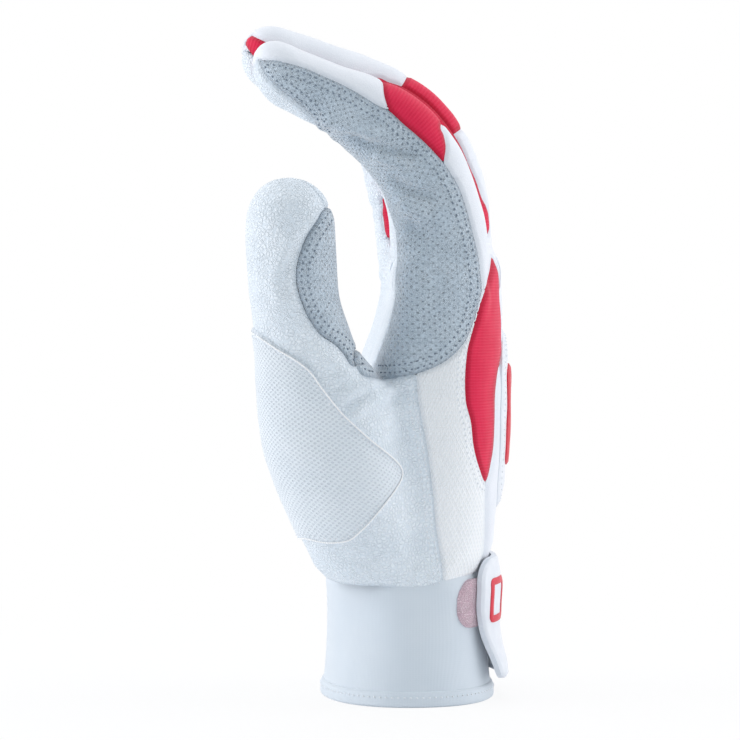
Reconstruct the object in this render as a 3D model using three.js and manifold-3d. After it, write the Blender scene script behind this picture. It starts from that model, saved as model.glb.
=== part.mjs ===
// A right-hand batting glove that stands on its cuff, with its fingers curled over and its thumb open.
// Millimetres. +Z runs from the cuff to the fingers, +X out of the back of the hand and +Y to the
// little finger. The leather is cut into panels along its seams, and each finger bends at two wedges
// that a flex piece fills. Angles in degrees run round the hand from +X towards +Y.

import * as THREE from "three";
import Module from "manifold-3d";

const wasm = await Module();
wasm.setup();
const mix = THREE.MathUtils.lerp;
const ease = THREE.MathUtils.smoothstep;
const radians = THREE.MathUtils.degToRad;
const degrees = THREE.MathUtils.radToDeg;
const UP = new THREE.Vector3(0, 0, 1);

// Thickness and clearance
const LEATHER_THICKNESS = 1.2;
const SEAM_GAP = 0.4;
const SEAT_GAP = 0.3;

// Cuff
const CUFF_HEIGHT = 44;
const CUFF_WALL = 2;
const CUFF_HALF_DEPTH = 25;
const CUFF_HALF_BREADTH = 30.5;
const WAIST_DRAW_IN = 1.6;
const HEM_HEIGHT = 7;
const HEM_EXTRA = 0.5;
const SLIT_ANGLE = 14;
const SLIT_WIDTH = 3;

// Closure tab and its tape
const TAB_FREE_ANGLE = -52;
const TAB_FREE_LOW_ANGLE = -20;
const TAB_HINGE_ANGLE = 40;
const TAB_ANCHOR_SPAN = 16;
const TAB_HEIGHT = 33;
const TAB_TOP_DROP = 2;
const TAB_CURVE_SHARE = 0.75;
const TAB_THICKNESS = 1.6;
const TAPE_THICKNESS = 1;
const TAPE_MARGIN = 4;
const LOOP_START = -60;
const LOOP_END = 6;
const HOOK_START = -20;
const HOOK_END = 8;
const EMBLEM_THICKNESS = 0.7;
const EMBLEM_HEIGHT = 13;
const EMBLEM_START = -30;
const EMBLEM_END = -8;

// Hand from the cuff to the root knuckles, with heights above the cuff
const KNUCKLE_RISE = 74;
const HAND_TOP_RISE = 98;
const KNUCKLE_HALF_DEPTH = 16;
const KNUCKLE_SHIFT = 7.4;
const PALM_ARCH = 3.6;
const HAND_THINNING = 1.5;
const WRIST_SQUARE = 2.2;
const KNUCKLE_SQUARE = 3.4;

// Panels of the hand
const OUTER_SIDE_START = 62;
const OUTER_SIDE_END = 118;
const LEAF_LOW_RISE = 20;
const LEAF_HIGH_RISE = 83;
const LEAF_LOW_ANGLE = -47;
const LEAF_HIGH_ANGLE = -37;
const LEAF_HALF_SPAN = 15;
const LEAF_POINTED = 0.7;
const POINT_TRIM_SHARE = 0.05;
const MESH_LOW_ANGLE = -83;
const MESH_HIGH_ANGLE = -104;
const INDEX_ROOT_RISE = 49;
const INDEX_ROOT_RUN_OUT = 21;
const INDEX_ROOT_PALM_ANGLE = -150;
const OVERLAY_THICKNESS = 1.2;
const PLATE_END_SHARE = 0.9;
const PLATE_SQUARE = 4;
const BACK_OVERLAY_ANGLE = 2;
const BACK_OVERLAY_HALF_SPAN = 24;
const BACK_OVERLAY_LOW_RISE = 14;
const BACK_OVERLAY_HIGH_RISE = 62;
const BADGE_THICKNESS = 1;
const BADGE_HALF_SPAN = 14;
const BADGE_LOW_RISE = 24;
const BADGE_HIGH_RISE = 54;

// Fingers: height of the root knuckle above the cuff, lengths from it, half sizes and bends in degrees.
// A wrap of -1 or 1 says that the palm leather runs up the thumb side or the little-finger side.
const FINGER_GAP = 0.8;
const FINGER_SQUARE = 2.4;
const FINGER_TAPER = 1.2;
const FINGER_LEAN = 2;
const BEND_HALF_RUN = 26;
const TIP_ROUND = 10;
const ROOT_CREASE = 15;
const CREASE_OUTSIDE = 1;
const WEDGE_SPARE = 3;
const ROOT_STRAIGHTENS = 20;
const MIDDLE_STRAIGHTENS = 40;
const BACK_HALF_SPAN = 62;
const PALM_HALF_SPAN = 58;
const CREASE_HALF_SPAN = 24;
const FINGERS = [
  { name: "index", rise: 72, length: 97, knuckle: 47, curlAt: 38, tipCurlAt: 62, halfWidth: 10.2,
    halfDepths: [13.2, 13, 10.4], curl: 47, tipCurl: 17, splay: 0, wrap: -1 },
  { name: "middle", rise: 73, length: 105, knuckle: 52, curlAt: 44, tipCurlAt: 70, halfWidth: 10.3,
    halfDepths: [13.6, 13, 10.4], curl: 55, tipCurl: 17, splay: 0, wrap: 0 },
  { name: "ring", rise: 69, length: 95, knuckle: 48, curlAt: 42, tipCurlAt: 66, halfWidth: 10.1,
    halfDepths: [14.6, 12.6, 10.2], curl: 38, tipCurl: 14, splay: 1.5, wrap: 0 },
  { name: "little", rise: 63, length: 80, knuckle: 40, curlAt: 35, tipCurlAt: 55, halfWidth: 9.2,
    halfDepths: [12.4, 11.4, 9.4], curl: 14, tipCurl: 8, splay: 3, wrap: 1 },
];

// Thumb: level sections by height above the cuff, with their centres and half sizes
const THUMB_TIP_RISE = 107;
const THUMB_TIP_ROUND = 12;
const THUMB_CREASE_RISE = 57;
const THUMB_OPENS = 22;
const THUMB_OPENS_TOWARDS = 199;
const THUMB_SQUARE = 2.2;
const THUMB_SECTIONS = [
  { rise: 0, x: -14.5, y: -20, halfX: 17, halfY: 14 },
  { rise: 16, x: -20, y: -25, halfX: 18.5, halfY: 17 },
  { rise: 29, x: -24.5, y: -30, halfX: 19, halfY: 17 },
  { rise: 41, x: -26.5, y: -34, halfX: 19, halfY: 16 },
  { rise: 49, x: -28.2, y: -37, halfX: 18, halfY: 15 },
  { rise: 57, x: -32.8, y: -40, halfX: 13.8, halfY: 13.4 },
  { rise: 72, x: -35.8, y: -45, halfX: 12.7, halfY: 12 },
  { rise: 89, x: -37, y: -49, halfX: 12.7, halfY: 11.6 },
  { rise: 107, x: -36.8, y: -51, halfX: 12.2, halfY: 11.4 },
];
const GRIP_START = -60;
const GRIP_END = 45;
const THUMB_FRONT_START = 165;
const THUMB_OVERLAY_LOW_RISE = 8;
const THUMB_OVERLAY_HIGH_RISE = 40;
const THUMB_OVERLAY_START = 175;
const THUMB_OVERLAY_END = 290;

// Facets
const HAND_SIDES = 40;
const HAND_LEVELS = 10;
const HAND_FACET = 12;
const CUFF_FACET = 10;
const CUFF_STEP = 8;
const FINGER_FACET = 24;
const LIMB_STEP = 9;
const DOME_STEPS = 3;
const DOME_SHARE = 0.99;
const THUMB_SIDES = 24;
const LINE_STEP = 0.5;
const CLOSE_ENOUGH = 1e-4;
const FAR = 300;

// Looks
const white = { color: 0xe9edf2, roughness: 0.55, metalness: 0 };
const grey = { color: 0xc2ccd6, roughness: 0.5, metalness: 0 };
const red = { color: 0xd8465f, roughness: 0.8, metalness: 0 };
const netting = { color: 0xdfe5ec, roughness: 0.85, metalness: 0 };
const knit = { color: 0xe6ebf1, roughness: 0.9, metalness: 0 };
const rubber = { color: 0xeef1f5, roughness: 0.45, metalness: 0 };
const tape = { color: 0xd9c3cf, roughness: 0.95, metalness: 0 };

// Solids from points

function solidFromTriangles(points, triangles) {
  const vertProperties = new Float32Array(points.flatMap((point) => point.toArray()));
  const triVerts = new Uint32Array(triangles);
  return new wasm.Manifold(new wasm.Mesh({ numProp: 3, vertProperties, triVerts }));
}

// The faces between closed rings, which are stacked upwards and run anticlockwise seen from above.
function wallTriangles(levels, sides) {
  const triangles = [];
  for (let level = 0; level + 1 < levels; level += 1) {
    for (let side = 0; side < sides; side += 1) {
      const a = level * sides + side;
      const b = level * sides + ((side + 1) % sides);
      triangles.push(a, b, b + sides, a, b + sides, a + sides);
    }
  }
  return triangles;
}

// A closed ring of points at even angles.
function ringOf(sides, pointAt) {
  return Array.from({ length: sides }, (_, side) => pointAt((360 * side) / sides));
}

// A solid tube of stacked rings with flat ends.
function tubeSolid(rings) {
  const sides = rings[0].length;
  const points = rings.flat();
  const triangles = wallTriangles(rings.length, sides);
  const centre = (ring) => ring.reduce((sum, p) => sum.add(p), new THREE.Vector3()).divideScalar(sides);
  const low = points.push(centre(rings[0])) - 1;
  const high = points.push(centre(rings.at(-1))) - 1;
  const top = (rings.length - 1) * sides;
  for (let side = 0; side < sides; side += 1) {
    const next = (side + 1) % sides;
    triangles.push(low, next, side, high, top + side, top + next);
  }
  return solidFromTriangles(points, triangles);
}

// A sheet with thickness. pointAt(across, row, depth) gives its points: across runs anticlockwise seen
// from above from 0 to 1, row counts upwards, and depth is 0 on the outside and 1 on the inside.
function sheetSolid(columns, rows, pointAt) {
  const points = [];
  for (let row = 0; row <= rows; row += 1) {
    for (let column = 0; column <= columns; column += 1) {
      points.push(pointAt(column / columns, row, 0));
    }
    for (let column = columns; column >= 0; column -= 1) {
      points.push(pointAt(column / columns, row, 1));
    }
  }
  const sides = 2 * (columns + 1);
  const triangles = wallTriangles(rows + 1, sides);
  const top = rows * sides;
  for (let a = 0; a < columns; a += 1) {
    const [b, c, d] = [a + 1, sides - 2 - a, sides - 1 - a];
    triangles.push(a, c, b, a, d, c);
    triangles.push(top + a, top + b, top + c, top + a, top + c, top + d);
  }
  return solidFromTriangles(points, triangles);
}

// A box geometry has four corners on each face, and its solid needs each corner once.
function boxSolid(box) {
  const place = box.getAttribute("position");
  const corners = [];
  const known = new Map();
  const triangles = [];
  for (const index of box.getIndex().array) {
    const corner = new THREE.Vector3().fromBufferAttribute(place, index);
    const key = corner.toArray().map((value) => value.toFixed(3)).join(" ");
    if (!known.has(key)) {
      known.set(key, corners.push(corner) - 1);
    }
    triangles.push(known.get(key));
  }
  return solidFromTriangles(corners, triangles);
}

// All that lies beyond a plane, which holds the points whose product with its normal is its offset.
function beyond(plane) {
  const box = new THREE.BoxGeometry(2 * FAR, 2 * FAR, FAR);
  box.translate(0, 0, FAR / 2);
  box.applyQuaternion(new THREE.Quaternion().setFromUnitVectors(UP, plane.normal));
  box.translate(...plane.normal.clone().multiplyScalar(plane.offset).toArray());
  return boxSolid(box);
}

function slab(fromY, toY) {
  const box = new THREE.BoxGeometry(2 * FAR, toY - fromY, 2 * FAR);
  box.translate(0, (fromY + toY) / 2, 0);
  return boxSolid(box);
}

function planeThrough(point, normal, shift) {
  return { normal, offset: normal.dot(point) + shift };
}

function geometryOf(solid) {
  const { vertProperties, triVerts } = solid.getMesh();
  const geometry = new THREE.BufferGeometry();
  geometry.setAttribute("position", new THREE.BufferAttribute(vertProperties, 3));
  geometry.setIndex(new THREE.BufferAttribute(triVerts, 1));
  geometry.computeVertexNormals();
  return geometry;
}

// A rounded section, an ellipse where square is 2 and nearer to a box above that.
function sectionPoint(angle, halfX, halfY, square) {
  const c = Math.cos(angle);
  const s = Math.sin(angle);
  const reach = (Math.abs(c) ** square + Math.abs(s) ** square) ** (-1 / square);
  return [halfX * reach * c, halfY * reach * s];
}

// How far the rounded tip of a limb has closed in.
function domeScale(at, end, round) {
  const past = Math.max((at - end + round) / round, 0);
  return Math.sqrt(Math.max(1 - past ** 2, 0));
}

// Bodies: a group stands at the hinge that moves it, inside the group of the body that carries it.

const glove = new THREE.Group();
glove.name = "batting_glove";
const bodies = new Map();

function addBody(name, carrier, pivot, axis) {
  const group = new THREE.Group();
  group.name = `${name}_body`;
  group.userData.axis = axis;
  const parent = bodies.get(carrier);
  group.position.copy(pivot).sub(parent ? parent.pivot : new THREE.Vector3());
  (parent ? parent.group : glove).add(group);
  bodies.set(name, { group, pivot });
}

function addPiece(name, body, solid, look) {
  const { group, pivot } = bodies.get(body);
  const geometry = geometryOf(solid).translate(-pivot.x, -pivot.y, -pivot.z);
  const piece = new THREE.Mesh(geometry, new THREE.MeshStandardMaterial(look));
  piece.name = name;
  group.add(piece);
}

addBody("hand", null, new THREE.Vector3(), UP);
const halfSeam = SEAM_GAP / 2;

// Shape of the hand

const fingersBreadth = FINGERS.reduce((sum, finger) => sum + 2 * finger.halfWidth + FINGER_GAP, 0);
const knuckleHalfBreadth = fingersBreadth / 2;

function handShape(rise) {
  const t = THREE.MathUtils.clamp(rise / KNUCKLE_RISE, 0, 1);
  const fullness = t ** HAND_THINNING;
  return {
    x: mix(0, KNUCKLE_SHIFT, t),
    halfDepth: mix(CUFF_HALF_DEPTH, KNUCKLE_HALF_DEPTH, fullness),
    halfBreadth: mix(CUFF_HALF_BREADTH, knuckleHalfBreadth, Math.sin((t * Math.PI) / 2)),
    arch: PALM_ARCH * fullness,
    square: mix(WRIST_SQUARE, KNUCKLE_SQUARE, t),
  };
}

// The knuckles stand in an arch, highest over the middle of the hand and as far below at its sides.
function archLift({ arch, halfBreadth }, y) {
  return arch * (1 - 2 * (y / halfBreadth) ** 2);
}

function handPoint(angle, rise, outward) {
  const shape = handShape(rise);
  const sides = [shape.halfDepth + outward, shape.halfBreadth + outward];
  const [x, y] = sectionPoint(radians(angle), ...sides, shape.square);
  return new THREE.Vector3(shape.x + x + archLift(shape, y), y, CUFF_HEIGHT + rise);
}

function handSolid(outward) {
  const rings = [];
  for (let level = 0; level <= HAND_LEVELS; level += 1) {
    const rise = mix(-LIMB_STEP, HAND_TOP_RISE + LIMB_STEP, level / HAND_LEVELS);
    rings.push(ringOf(HAND_SIDES, (angle) => handPoint(angle, rise, outward)));
  }
  return tubeSolid(rings);
}

// Part of the hand between two edges, which give an angle for a height, from outside to inside.
function handSheet(lowRise, highRise, startAngle, endAngle, outside, inside) {
  const middle = (lowRise + highRise) / 2;
  const columns = Math.ceil((endAngle(middle) - startAngle(middle)) / HAND_FACET);
  const rows = Math.ceil((highRise - lowRise) / LIMB_STEP);
  return sheetSolid(columns, rows, (across, row, depth) => {
    const rise = mix(lowRise, highRise, row / rows);
    const angle = mix(startAngle(rise), endAngle(rise), across);
    return handPoint(angle, rise, mix(outside, inside, depth));
  });
}

// Fingers

// The middle line of a finger, which leans over at its middle bend and again at its end bend.
function fingerLine({ length, curlAt, curl, tipCurlAt, tipCurl }) {
  const bend = (s, at) => ease(s, at - BEND_HALF_RUN, at + BEND_HALF_RUN);
  const lean = (s) => radians(FINGER_LEAN + curl * bend(s, curlAt) + tipCurl * bend(s, tipCurlAt));
  const stations = [{ x: 0, z: 0 }];
  for (let s = 0; s < length; s += LINE_STEP) {
    const { x, z } = stations.at(-1);
    const angle = lean(s + LINE_STEP / 2);
    stations.push({ x: x - LINE_STEP * Math.sin(angle), z: z + LINE_STEP * Math.cos(angle) });
  }
  return (s) => {
    const angle = lean(s);
    const at = THREE.MathUtils.clamp(s / LINE_STEP, 0, stations.length - 1);
    const [a, b] = [stations[Math.floor(at)], stations[Math.ceil(at)]];
    const before = Math.min(s, 0);
    return {
      x: mix(a.x, b.x, at % 1) - before * Math.sin(angle),
      z: mix(a.z, b.z, at % 1) + before * Math.cos(angle),
      angle,
    };
  };
}

function makeFinger(finger, laneStart) {
  const laneEnd = laneStart + 2 * finger.halfWidth + FINGER_GAP;
  const laneCentre = (laneStart + laneEnd) / 2;
  const line = fingerLine(finger);
  const knuckle = handShape(KNUCKLE_RISE);
  const place = new THREE.Matrix4().makeRotationX(-radians(finger.splay));
  place.setPosition(knuckle.x + archLift(knuckle, laneCentre), laneCentre, CUFF_HEIGHT + finger.rise);

  const point = (s, lift, sideways) => {
    const { x, z, angle } = line(s);
    const local = new THREE.Vector3(x + lift * Math.cos(angle), sideways, z + lift * Math.sin(angle));
    return local.applyMatrix4(place);
  };
  const towardsTip = (s) => ease(s, finger.knuckle, finger.length - TIP_ROUND);
  const halfDepth = (s) => {
    const [root, middle, end] = finger.halfDepths;
    return mix(mix(root, middle, ease(s, 0, finger.knuckle)), end, towardsTip(s));
  };
  const halfWidth = (s) => finger.halfWidth - FINGER_TAPER * towardsTip(s);
  const surface = (s, angle, inward) => {
    const dome = domeScale(s, finger.length - inward, TIP_ROUND - inward);
    const sides = [dome * (halfDepth(s) - inward), dome * (halfWidth(s) - inward)];
    return point(s, ...sectionPoint(radians(angle), ...sides, FINGER_SQUARE));
  };
  // The planes of a bend meet on a line just outside the palm side, and part towards the back.
  const bend = (s, straightens) => {
    const half = radians(straightens + WEDGE_SPARE) / 2;
    const towards = (lean) => new THREE.Vector3(-Math.sin(lean), 0, Math.cos(lean));
    return {
      pivot: point(s, -halfDepth(s) - CREASE_OUTSIDE, 0),
      low: towards(line(s).angle - half).transformDirection(place),
      high: towards(line(s).angle + half).transformDirection(place),
    };
  };
  return {
    ...finger, laneStart, laneEnd, surface, end: finger.length, round: TIP_ROUND, facet: FINGER_FACET,
    axis: new THREE.Vector3(0, -1, 0).transformDirection(place),
    root: bend(ROOT_CREASE, ROOT_STRAIGHTENS),
    knuckle: bend(finger.knuckle, MIDDLE_STRAIGHTENS),
  };
}

// Thumb

// A value of the thumb's sections at a height, along a smooth curve through them.
function thumbValue(rise, value) {
  const keys = THUMB_SECTIONS;
  const last = keys.length - 1;
  const i = THREE.MathUtils.clamp(keys.findIndex((key) => key.rise > rise) - 1, 0, last - 1);
  const from = rise >= keys[last].rise ? last - 1 : i;
  const [a, b] = [keys[from], keys[from + 1]];
  const run = b.rise - a.rise;
  const t = THREE.MathUtils.clamp((rise - a.rise) / run, 0, 1);
  const slope = (m, n) => (run * (keys[n][value] - keys[m][value])) / (keys[n].rise - keys[m].rise);
  const start = slope(Math.max(from - 1, 0), from + 1);
  const end = slope(from, Math.min(from + 2, last));
  return mix(a[value], b[value], ease(t, 0, 1)) + t * (1 - t) * (start * (1 - t) - end * t);
}

function thumbSurface(rise, angle, inward) {
  const dome = domeScale(rise, THUMB_TIP_RISE - inward, THUMB_TIP_ROUND - inward);
  const sides = ["halfX", "halfY"].map((side) => dome * (thumbValue(rise, side) - inward));
  const [x, y] = sectionPoint(radians(angle), ...sides, THUMB_SQUARE);
  return new THREE.Vector3(thumbValue(rise, "x") + x, thumbValue(rise, "y") + y, CUFF_HEIGHT + rise);
}

function makeThumb() {
  const outward = new THREE.Vector3(1, 0, 0).applyAxisAngle(UP, radians(THUMB_OPENS_TOWARDS));
  const axis = UP.clone().cross(outward);
  const half = radians(THUMB_OPENS + WEDGE_SPARE) / 2;
  const crease = thumbSurface(THUMB_CREASE_RISE, THUMB_OPENS_TOWARDS - 180, 0);
  return {
    surface: thumbSurface, end: THUMB_TIP_RISE, round: THUMB_TIP_ROUND, facet: 360 / THUMB_SIDES, axis,
    root: {
      pivot: crease.addScaledVector(outward, -CREASE_OUTSIDE),
      low: UP.clone().applyAxisAngle(axis, half),
      high: UP.clone().applyAxisAngle(axis, -half),
    },
  };
}

function thumbSolid(inward, lowRise) {
  const stops = limbStops(lowRise, THUMB_TIP_RISE - inward, THUMB_TIP_ROUND - inward);
  const ringAt = (rise) => ringOf(THUMB_SIDES, (angle) => thumbSurface(rise, angle, inward));
  return tubeSolid(stops.map(ringAt));
}

// Panels of a finger or the thumb

// Stops along a limb: even steps up to its round tip, then over the tip.
function limbStops(start, end, round) {
  const dome = end - round;
  const steps = Math.max(Math.ceil((dome - start) / LIMB_STEP), 1);
  const stops = [];
  for (let step = 0; step < steps; step += 1) {
    stops.push(mix(start, dome, step / steps));
  }
  for (let step = 0; step <= DOME_STEPS; step += 1) {
    stops.push(dome + round * Math.sin((DOME_SHARE * step * Math.PI) / (2 * DOME_STEPS)));
  }
  return stops;
}

// Where a line along the limb at one angle meets a plane.
function meets(limb, angle, inward, plane) {
  let [low, high] = [-LIMB_STEP, limb.end - limb.round];
  while (high - low > CLOSE_ENOUGH) {
    const middle = (low + high) / 2;
    if (limb.surface(middle, angle, inward).dot(plane.normal) < plane.offset) {
      low = middle;
    } else {
      high = middle;
    }
  }
  return low;
}

const facets = (limb, startAngle, endAngle) => Math.ceil((endAngle - startAngle) / limb.facet);
const inwardAt = (depth) => depth * LEATHER_THICKNESS;

// A panel between two angles, from one plane to another.
function bandPanel(limb, startAngle, endAngle, lowPlane, highPlane) {
  const middleAngle = (startAngle + endAngle) / 2;
  const run = meets(limb, middleAngle, 0, highPlane) - meets(limb, middleAngle, 0, lowPlane);
  const rows = Math.max(Math.ceil(run / LIMB_STEP), 2);
  return sheetSolid(facets(limb, startAngle, endAngle), rows, (across, row, depth) => {
    const angle = mix(startAngle, endAngle, across);
    const inward = inwardAt(depth);
    const from = meets(limb, angle, inward, lowPlane);
    const to = meets(limb, angle, inward, highPlane);
    return limb.surface(mix(from, to, row / rows), angle, inward);
  });
}

// A panel between two angles, from a plane to the very tip.
function tipPanel(limb, startAngle, endAngle, lowPlane) {
  const stopsAt = (angle, inward) => {
    const start = meets(limb, angle, inward, lowPlane);
    return limbStops(start, limb.end - inward, limb.round - inward);
  };
  const shortest = Math.min(...[startAngle, endAngle].map((angle) => stopsAt(angle, 0).length));
  const even = (angle, inward, share) => {
    const stops = stopsAt(angle, inward);
    const dome = stops.length - 1 - DOME_STEPS;
    const lastEven = shortest - 1 - DOME_STEPS;
    if (share > lastEven) {
      return stops[dome + share - lastEven];
    }
    return mix(stops[0], stops[dome], share / lastEven);
  };
  return sheetSolid(facets(limb, startAngle, endAngle), shortest - 1, (across, row, depth) => {
    const angle = mix(startAngle, endAngle, across);
    return limb.surface(even(angle, inwardAt(depth), row), angle, inwardAt(depth));
  });
}

const seamAngle = (radius) => degrees(halfSeam / radius);
const lowerSide = ({ pivot, low }) => planeThrough(pivot, low, -halfSeam);
const lowerFlexSide = ({ pivot, low }) => planeThrough(pivot, low, halfSeam);
const upperFlexSide = ({ pivot, high }) => planeThrough(pivot, high, -halfSeam);
const upperSide = ({ pivot, high }) => planeThrough(pivot, high, halfSeam);

// The seams of a finger: angles from its back, with the palm panel run up one side where it wraps.
function fingerPanels({ wrap, halfWidth }) {
  const gap = seamAngle(halfWidth);
  const palmEdge = 180 - PALM_HALF_SPAN;
  const inner = { label: "inner_gusset", look: red, from: -palmEdge + gap, to: -BACK_HALF_SPAN - gap };
  const outer = { label: "outer_gusset", look: red, from: BACK_HALF_SPAN + gap, to: palmEdge - gap };
  const palm = {
    label: "palm",
    look: wrap < 0 ? grey : white,
    from: (wrap > 0 ? BACK_HALF_SPAN : palmEdge) + gap,
    to: 360 - (wrap < 0 ? BACK_HALF_SPAN : palmEdge) - gap,
  };
  const back = { label: "back", look: white, from: -BACK_HALF_SPAN + gap, to: BACK_HALF_SPAN - gap };
  return [palm, back, ...(wrap < 0 ? [] : [inner]), ...(wrap > 0 ? [] : [outer])];
}

function addFinger(finger) {
  const lowerBody = `${finger.name}_lower`;
  const tipBody = `${finger.name}_tip`;
  addBody(lowerBody, "hand", finger.root.pivot, finger.axis);
  addBody(tipBody, lowerBody, finger.knuckle.pivot, finger.axis);
  for (const { label, look, from, to } of fingerPanels(finger)) {
    const lower = bandPanel(finger, from, to, upperSide(finger.root), lowerSide(finger.knuckle));
    addPiece(`${lowerBody}_${label}`, lowerBody, lower, look);
    addPiece(`${tipBody}_${label}`, tipBody, tipPanel(finger, from, to, upperSide(finger.knuckle)), look);
  }
  const flex = (bend) => {
    const side = 180 - CREASE_HALF_SPAN;
    return bandPanel(finger, -side, side, lowerFlexSide(bend), upperFlexSide(bend));
  };
  addPiece(`${finger.name}_root_flex`, "hand", flex(finger.root), white);
  addPiece(`${finger.name}_knuckle_flex`, lowerBody, flex(finger.knuckle), red);
}

let laneStart = -knuckleHalfBreadth;
const fingers = FINGERS.map((size) => {
  const finger = makeFinger(size, laneStart);
  laneStart = finger.laneEnd;
  return finger;
});
fingers.forEach(addFinger);

// Thumb panels

const thumb = makeThumb();
addBody("thumb", "hand", thumb.root.pivot, thumb.axis);
const thumbGap = seamAngle(THUMB_TIP_ROUND);
const thumbPanels = [
  { name: "thumb_grip_panel", look: grey, from: GRIP_START, to: GRIP_END },
  { name: "thumb_back_panel", look: white, from: GRIP_END, to: THUMB_FRONT_START },
  { name: "thumb_front_panel", look: white, from: THUMB_FRONT_START, to: GRIP_START + 360 },
];
for (const { name, look, from, to } of thumbPanels) {
  addPiece(name, "thumb", tipPanel(thumb, from + thumbGap, to - thumbGap, upperSide(thumb.root)), look);
}
const thumbFlexStart = THUMB_OPENS_TOWARDS - 180 + CREASE_HALF_SPAN;
const thumbFlexEnd = THUMB_OPENS_TOWARDS + 180 - CREASE_HALF_SPAN;
const thumbFlex = bandPanel(thumb, thumbFlexStart, thumbFlexEnd,
  lowerFlexSide(thumb.root), upperFlexSide(thumb.root));
addPiece("thumb_root_flex", "hand", thumbFlex, white);

const wristPlane = planeThrough(new THREE.Vector3(0, 0, CUFF_HEIGHT), UP, SEAM_GAP);
const handGap = handSolid(SEAM_GAP);
const thumbGapSolid = thumbSolid(-SEAM_GAP, -LIMB_STEP);
const thumbBase = thumbSolid(0, -LIMB_STEP)
  .subtract(thumbSolid(LEATHER_THICKNESS, -2 * LIMB_STEP))
  .subtract(beyond(lowerSide(thumb.root)))
  .intersect(beyond(wristPlane))
  .subtract(handGap);
addPiece("thumb_base_panel", "hand", thumbBase, white);

const thumbOverlayRows = Math.ceil((THUMB_OVERLAY_HIGH_RISE - THUMB_OVERLAY_LOW_RISE) / LIMB_STEP);
const thumbOverlay = sheetSolid(
  facets(thumb, THUMB_OVERLAY_START, THUMB_OVERLAY_END), thumbOverlayRows, (across, row, depth) => {
    const rise = mix(THUMB_OVERLAY_LOW_RISE, THUMB_OVERLAY_HIGH_RISE, row / thumbOverlayRows);
    const angle = mix(THUMB_OVERLAY_START, THUMB_OVERLAY_END, across);
    return thumbSurface(rise, angle, -SEAT_GAP - (1 - depth) * OVERLAY_THICKNESS);
  });
addPiece("thumb_base_overlay", "hand", thumbOverlay.subtract(handGap), white);

// Hand panels

const handSeam = seamAngle(CUFF_HALF_DEPTH);
const constantly = (angle) => () => angle;
const shifted = (edge, by) => (rise) => edge(rise) + by;

const leafRun = LEAF_HIGH_RISE - LEAF_LOW_RISE;
const alongLeaf = (rise) => THREE.MathUtils.clamp((rise - LEAF_LOW_RISE) / leafRun, 0, 1);
const leafCentre = (rise) => mix(LEAF_LOW_ANGLE, LEAF_HIGH_ANGLE, alongLeaf(rise));
const leafHalf = (rise) => LEAF_HALF_SPAN * Math.sin(Math.PI * alongLeaf(rise)) ** LEAF_POINTED;
const leafFront = (rise) => leafCentre(rise) - leafHalf(rise);
const leafBack = (rise) => leafCentre(rise) + leafHalf(rise);

// The seam between the palm leather and the mesh turns over the root of the index finger to the leaf.
function palmSeam(rise) {
  if (rise < INDEX_ROOT_RISE) {
    return mix(MESH_LOW_ANGLE, MESH_HIGH_ANGLE, rise / INDEX_ROOT_RISE);
  }
  const t = Math.min((rise - INDEX_ROOT_RISE) / INDEX_ROOT_RUN_OUT, 1);
  return mix(MESH_HIGH_ANGLE, leafFront(rise), t);
}

// The room that the fingers and their root wedges take, lane by lane.
const fingerRoom = fingers.map((finger, i) => {
  const from = i === 0 ? -FAR : finger.laneStart - halfSeam;
  const to = i === fingers.length - 1 ? FAR : finger.laneEnd + halfSeam;
  return beyond(lowerSide(finger.root)).intersect(slab(from, to));
}).reduce((whole, room) => whole.add(room));

function handPanel(lowRise, highRise, startAngle, endAngle) {
  const start = shifted(startAngle, handSeam);
  const end = shifted(endAngle, -handSeam);
  const sheet = handSheet(lowRise, highRise, start, end, 0, -LEATHER_THICKNESS);
  return sheet.subtract(thumbGapSolid).subtract(fingerRoom);
}

const outerStart = constantly(OUTER_SIDE_START);
const outerEnd = constantly(OUTER_SIDE_END);
const indexRootPalm = constantly(INDEX_ROOT_PALM_ANGLE);
const palmEnd = (rise) => palmSeam(Math.min(rise, INDEX_ROOT_RISE)) + 360;

const meshTop = INDEX_ROOT_RISE + (1 - POINT_TRIM_SHARE) * INDEX_ROOT_RUN_OUT;
addPiece("mesh_side_panel", "hand", handPanel(SEAM_GAP, meshTop, palmSeam, leafFront), netting);
const leafLow = LEAF_LOW_RISE + POINT_TRIM_SHARE * leafRun;
const leafHigh = LEAF_HIGH_RISE - POINT_TRIM_SHARE * leafRun;
addPiece("stretch_side_panel", "hand", handPanel(leafLow, leafHigh, leafFront, leafBack), red);
const backhand = handPanel(SEAM_GAP, HAND_TOP_RISE, leafBack, outerStart);
addPiece("backhand_panel", "hand", backhand, white);
const outerSide = handPanel(SEAM_GAP, HAND_TOP_RISE, outerStart, outerEnd);
addPiece("outer_side_panel", "hand", outerSide, white);
const indexRoot = handPanel(INDEX_ROOT_RISE + halfSeam, HAND_TOP_RISE, indexRootPalm, palmSeam);
addPiece("index_root_panel", "hand", indexRoot, grey);
const indexRootCut = handSheet(INDEX_ROOT_RISE - halfSeam, HAND_TOP_RISE + LIMB_STEP,
  shifted(indexRootPalm, -handSeam), constantly(0), 2 * LEATHER_THICKNESS, -2 * LEATHER_THICKNESS);
const palm = handPanel(SEAM_GAP, HAND_TOP_RISE, outerEnd, palmEnd).subtract(indexRootCut);
addPiece("palm_panel", "hand", palm, white);

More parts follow.
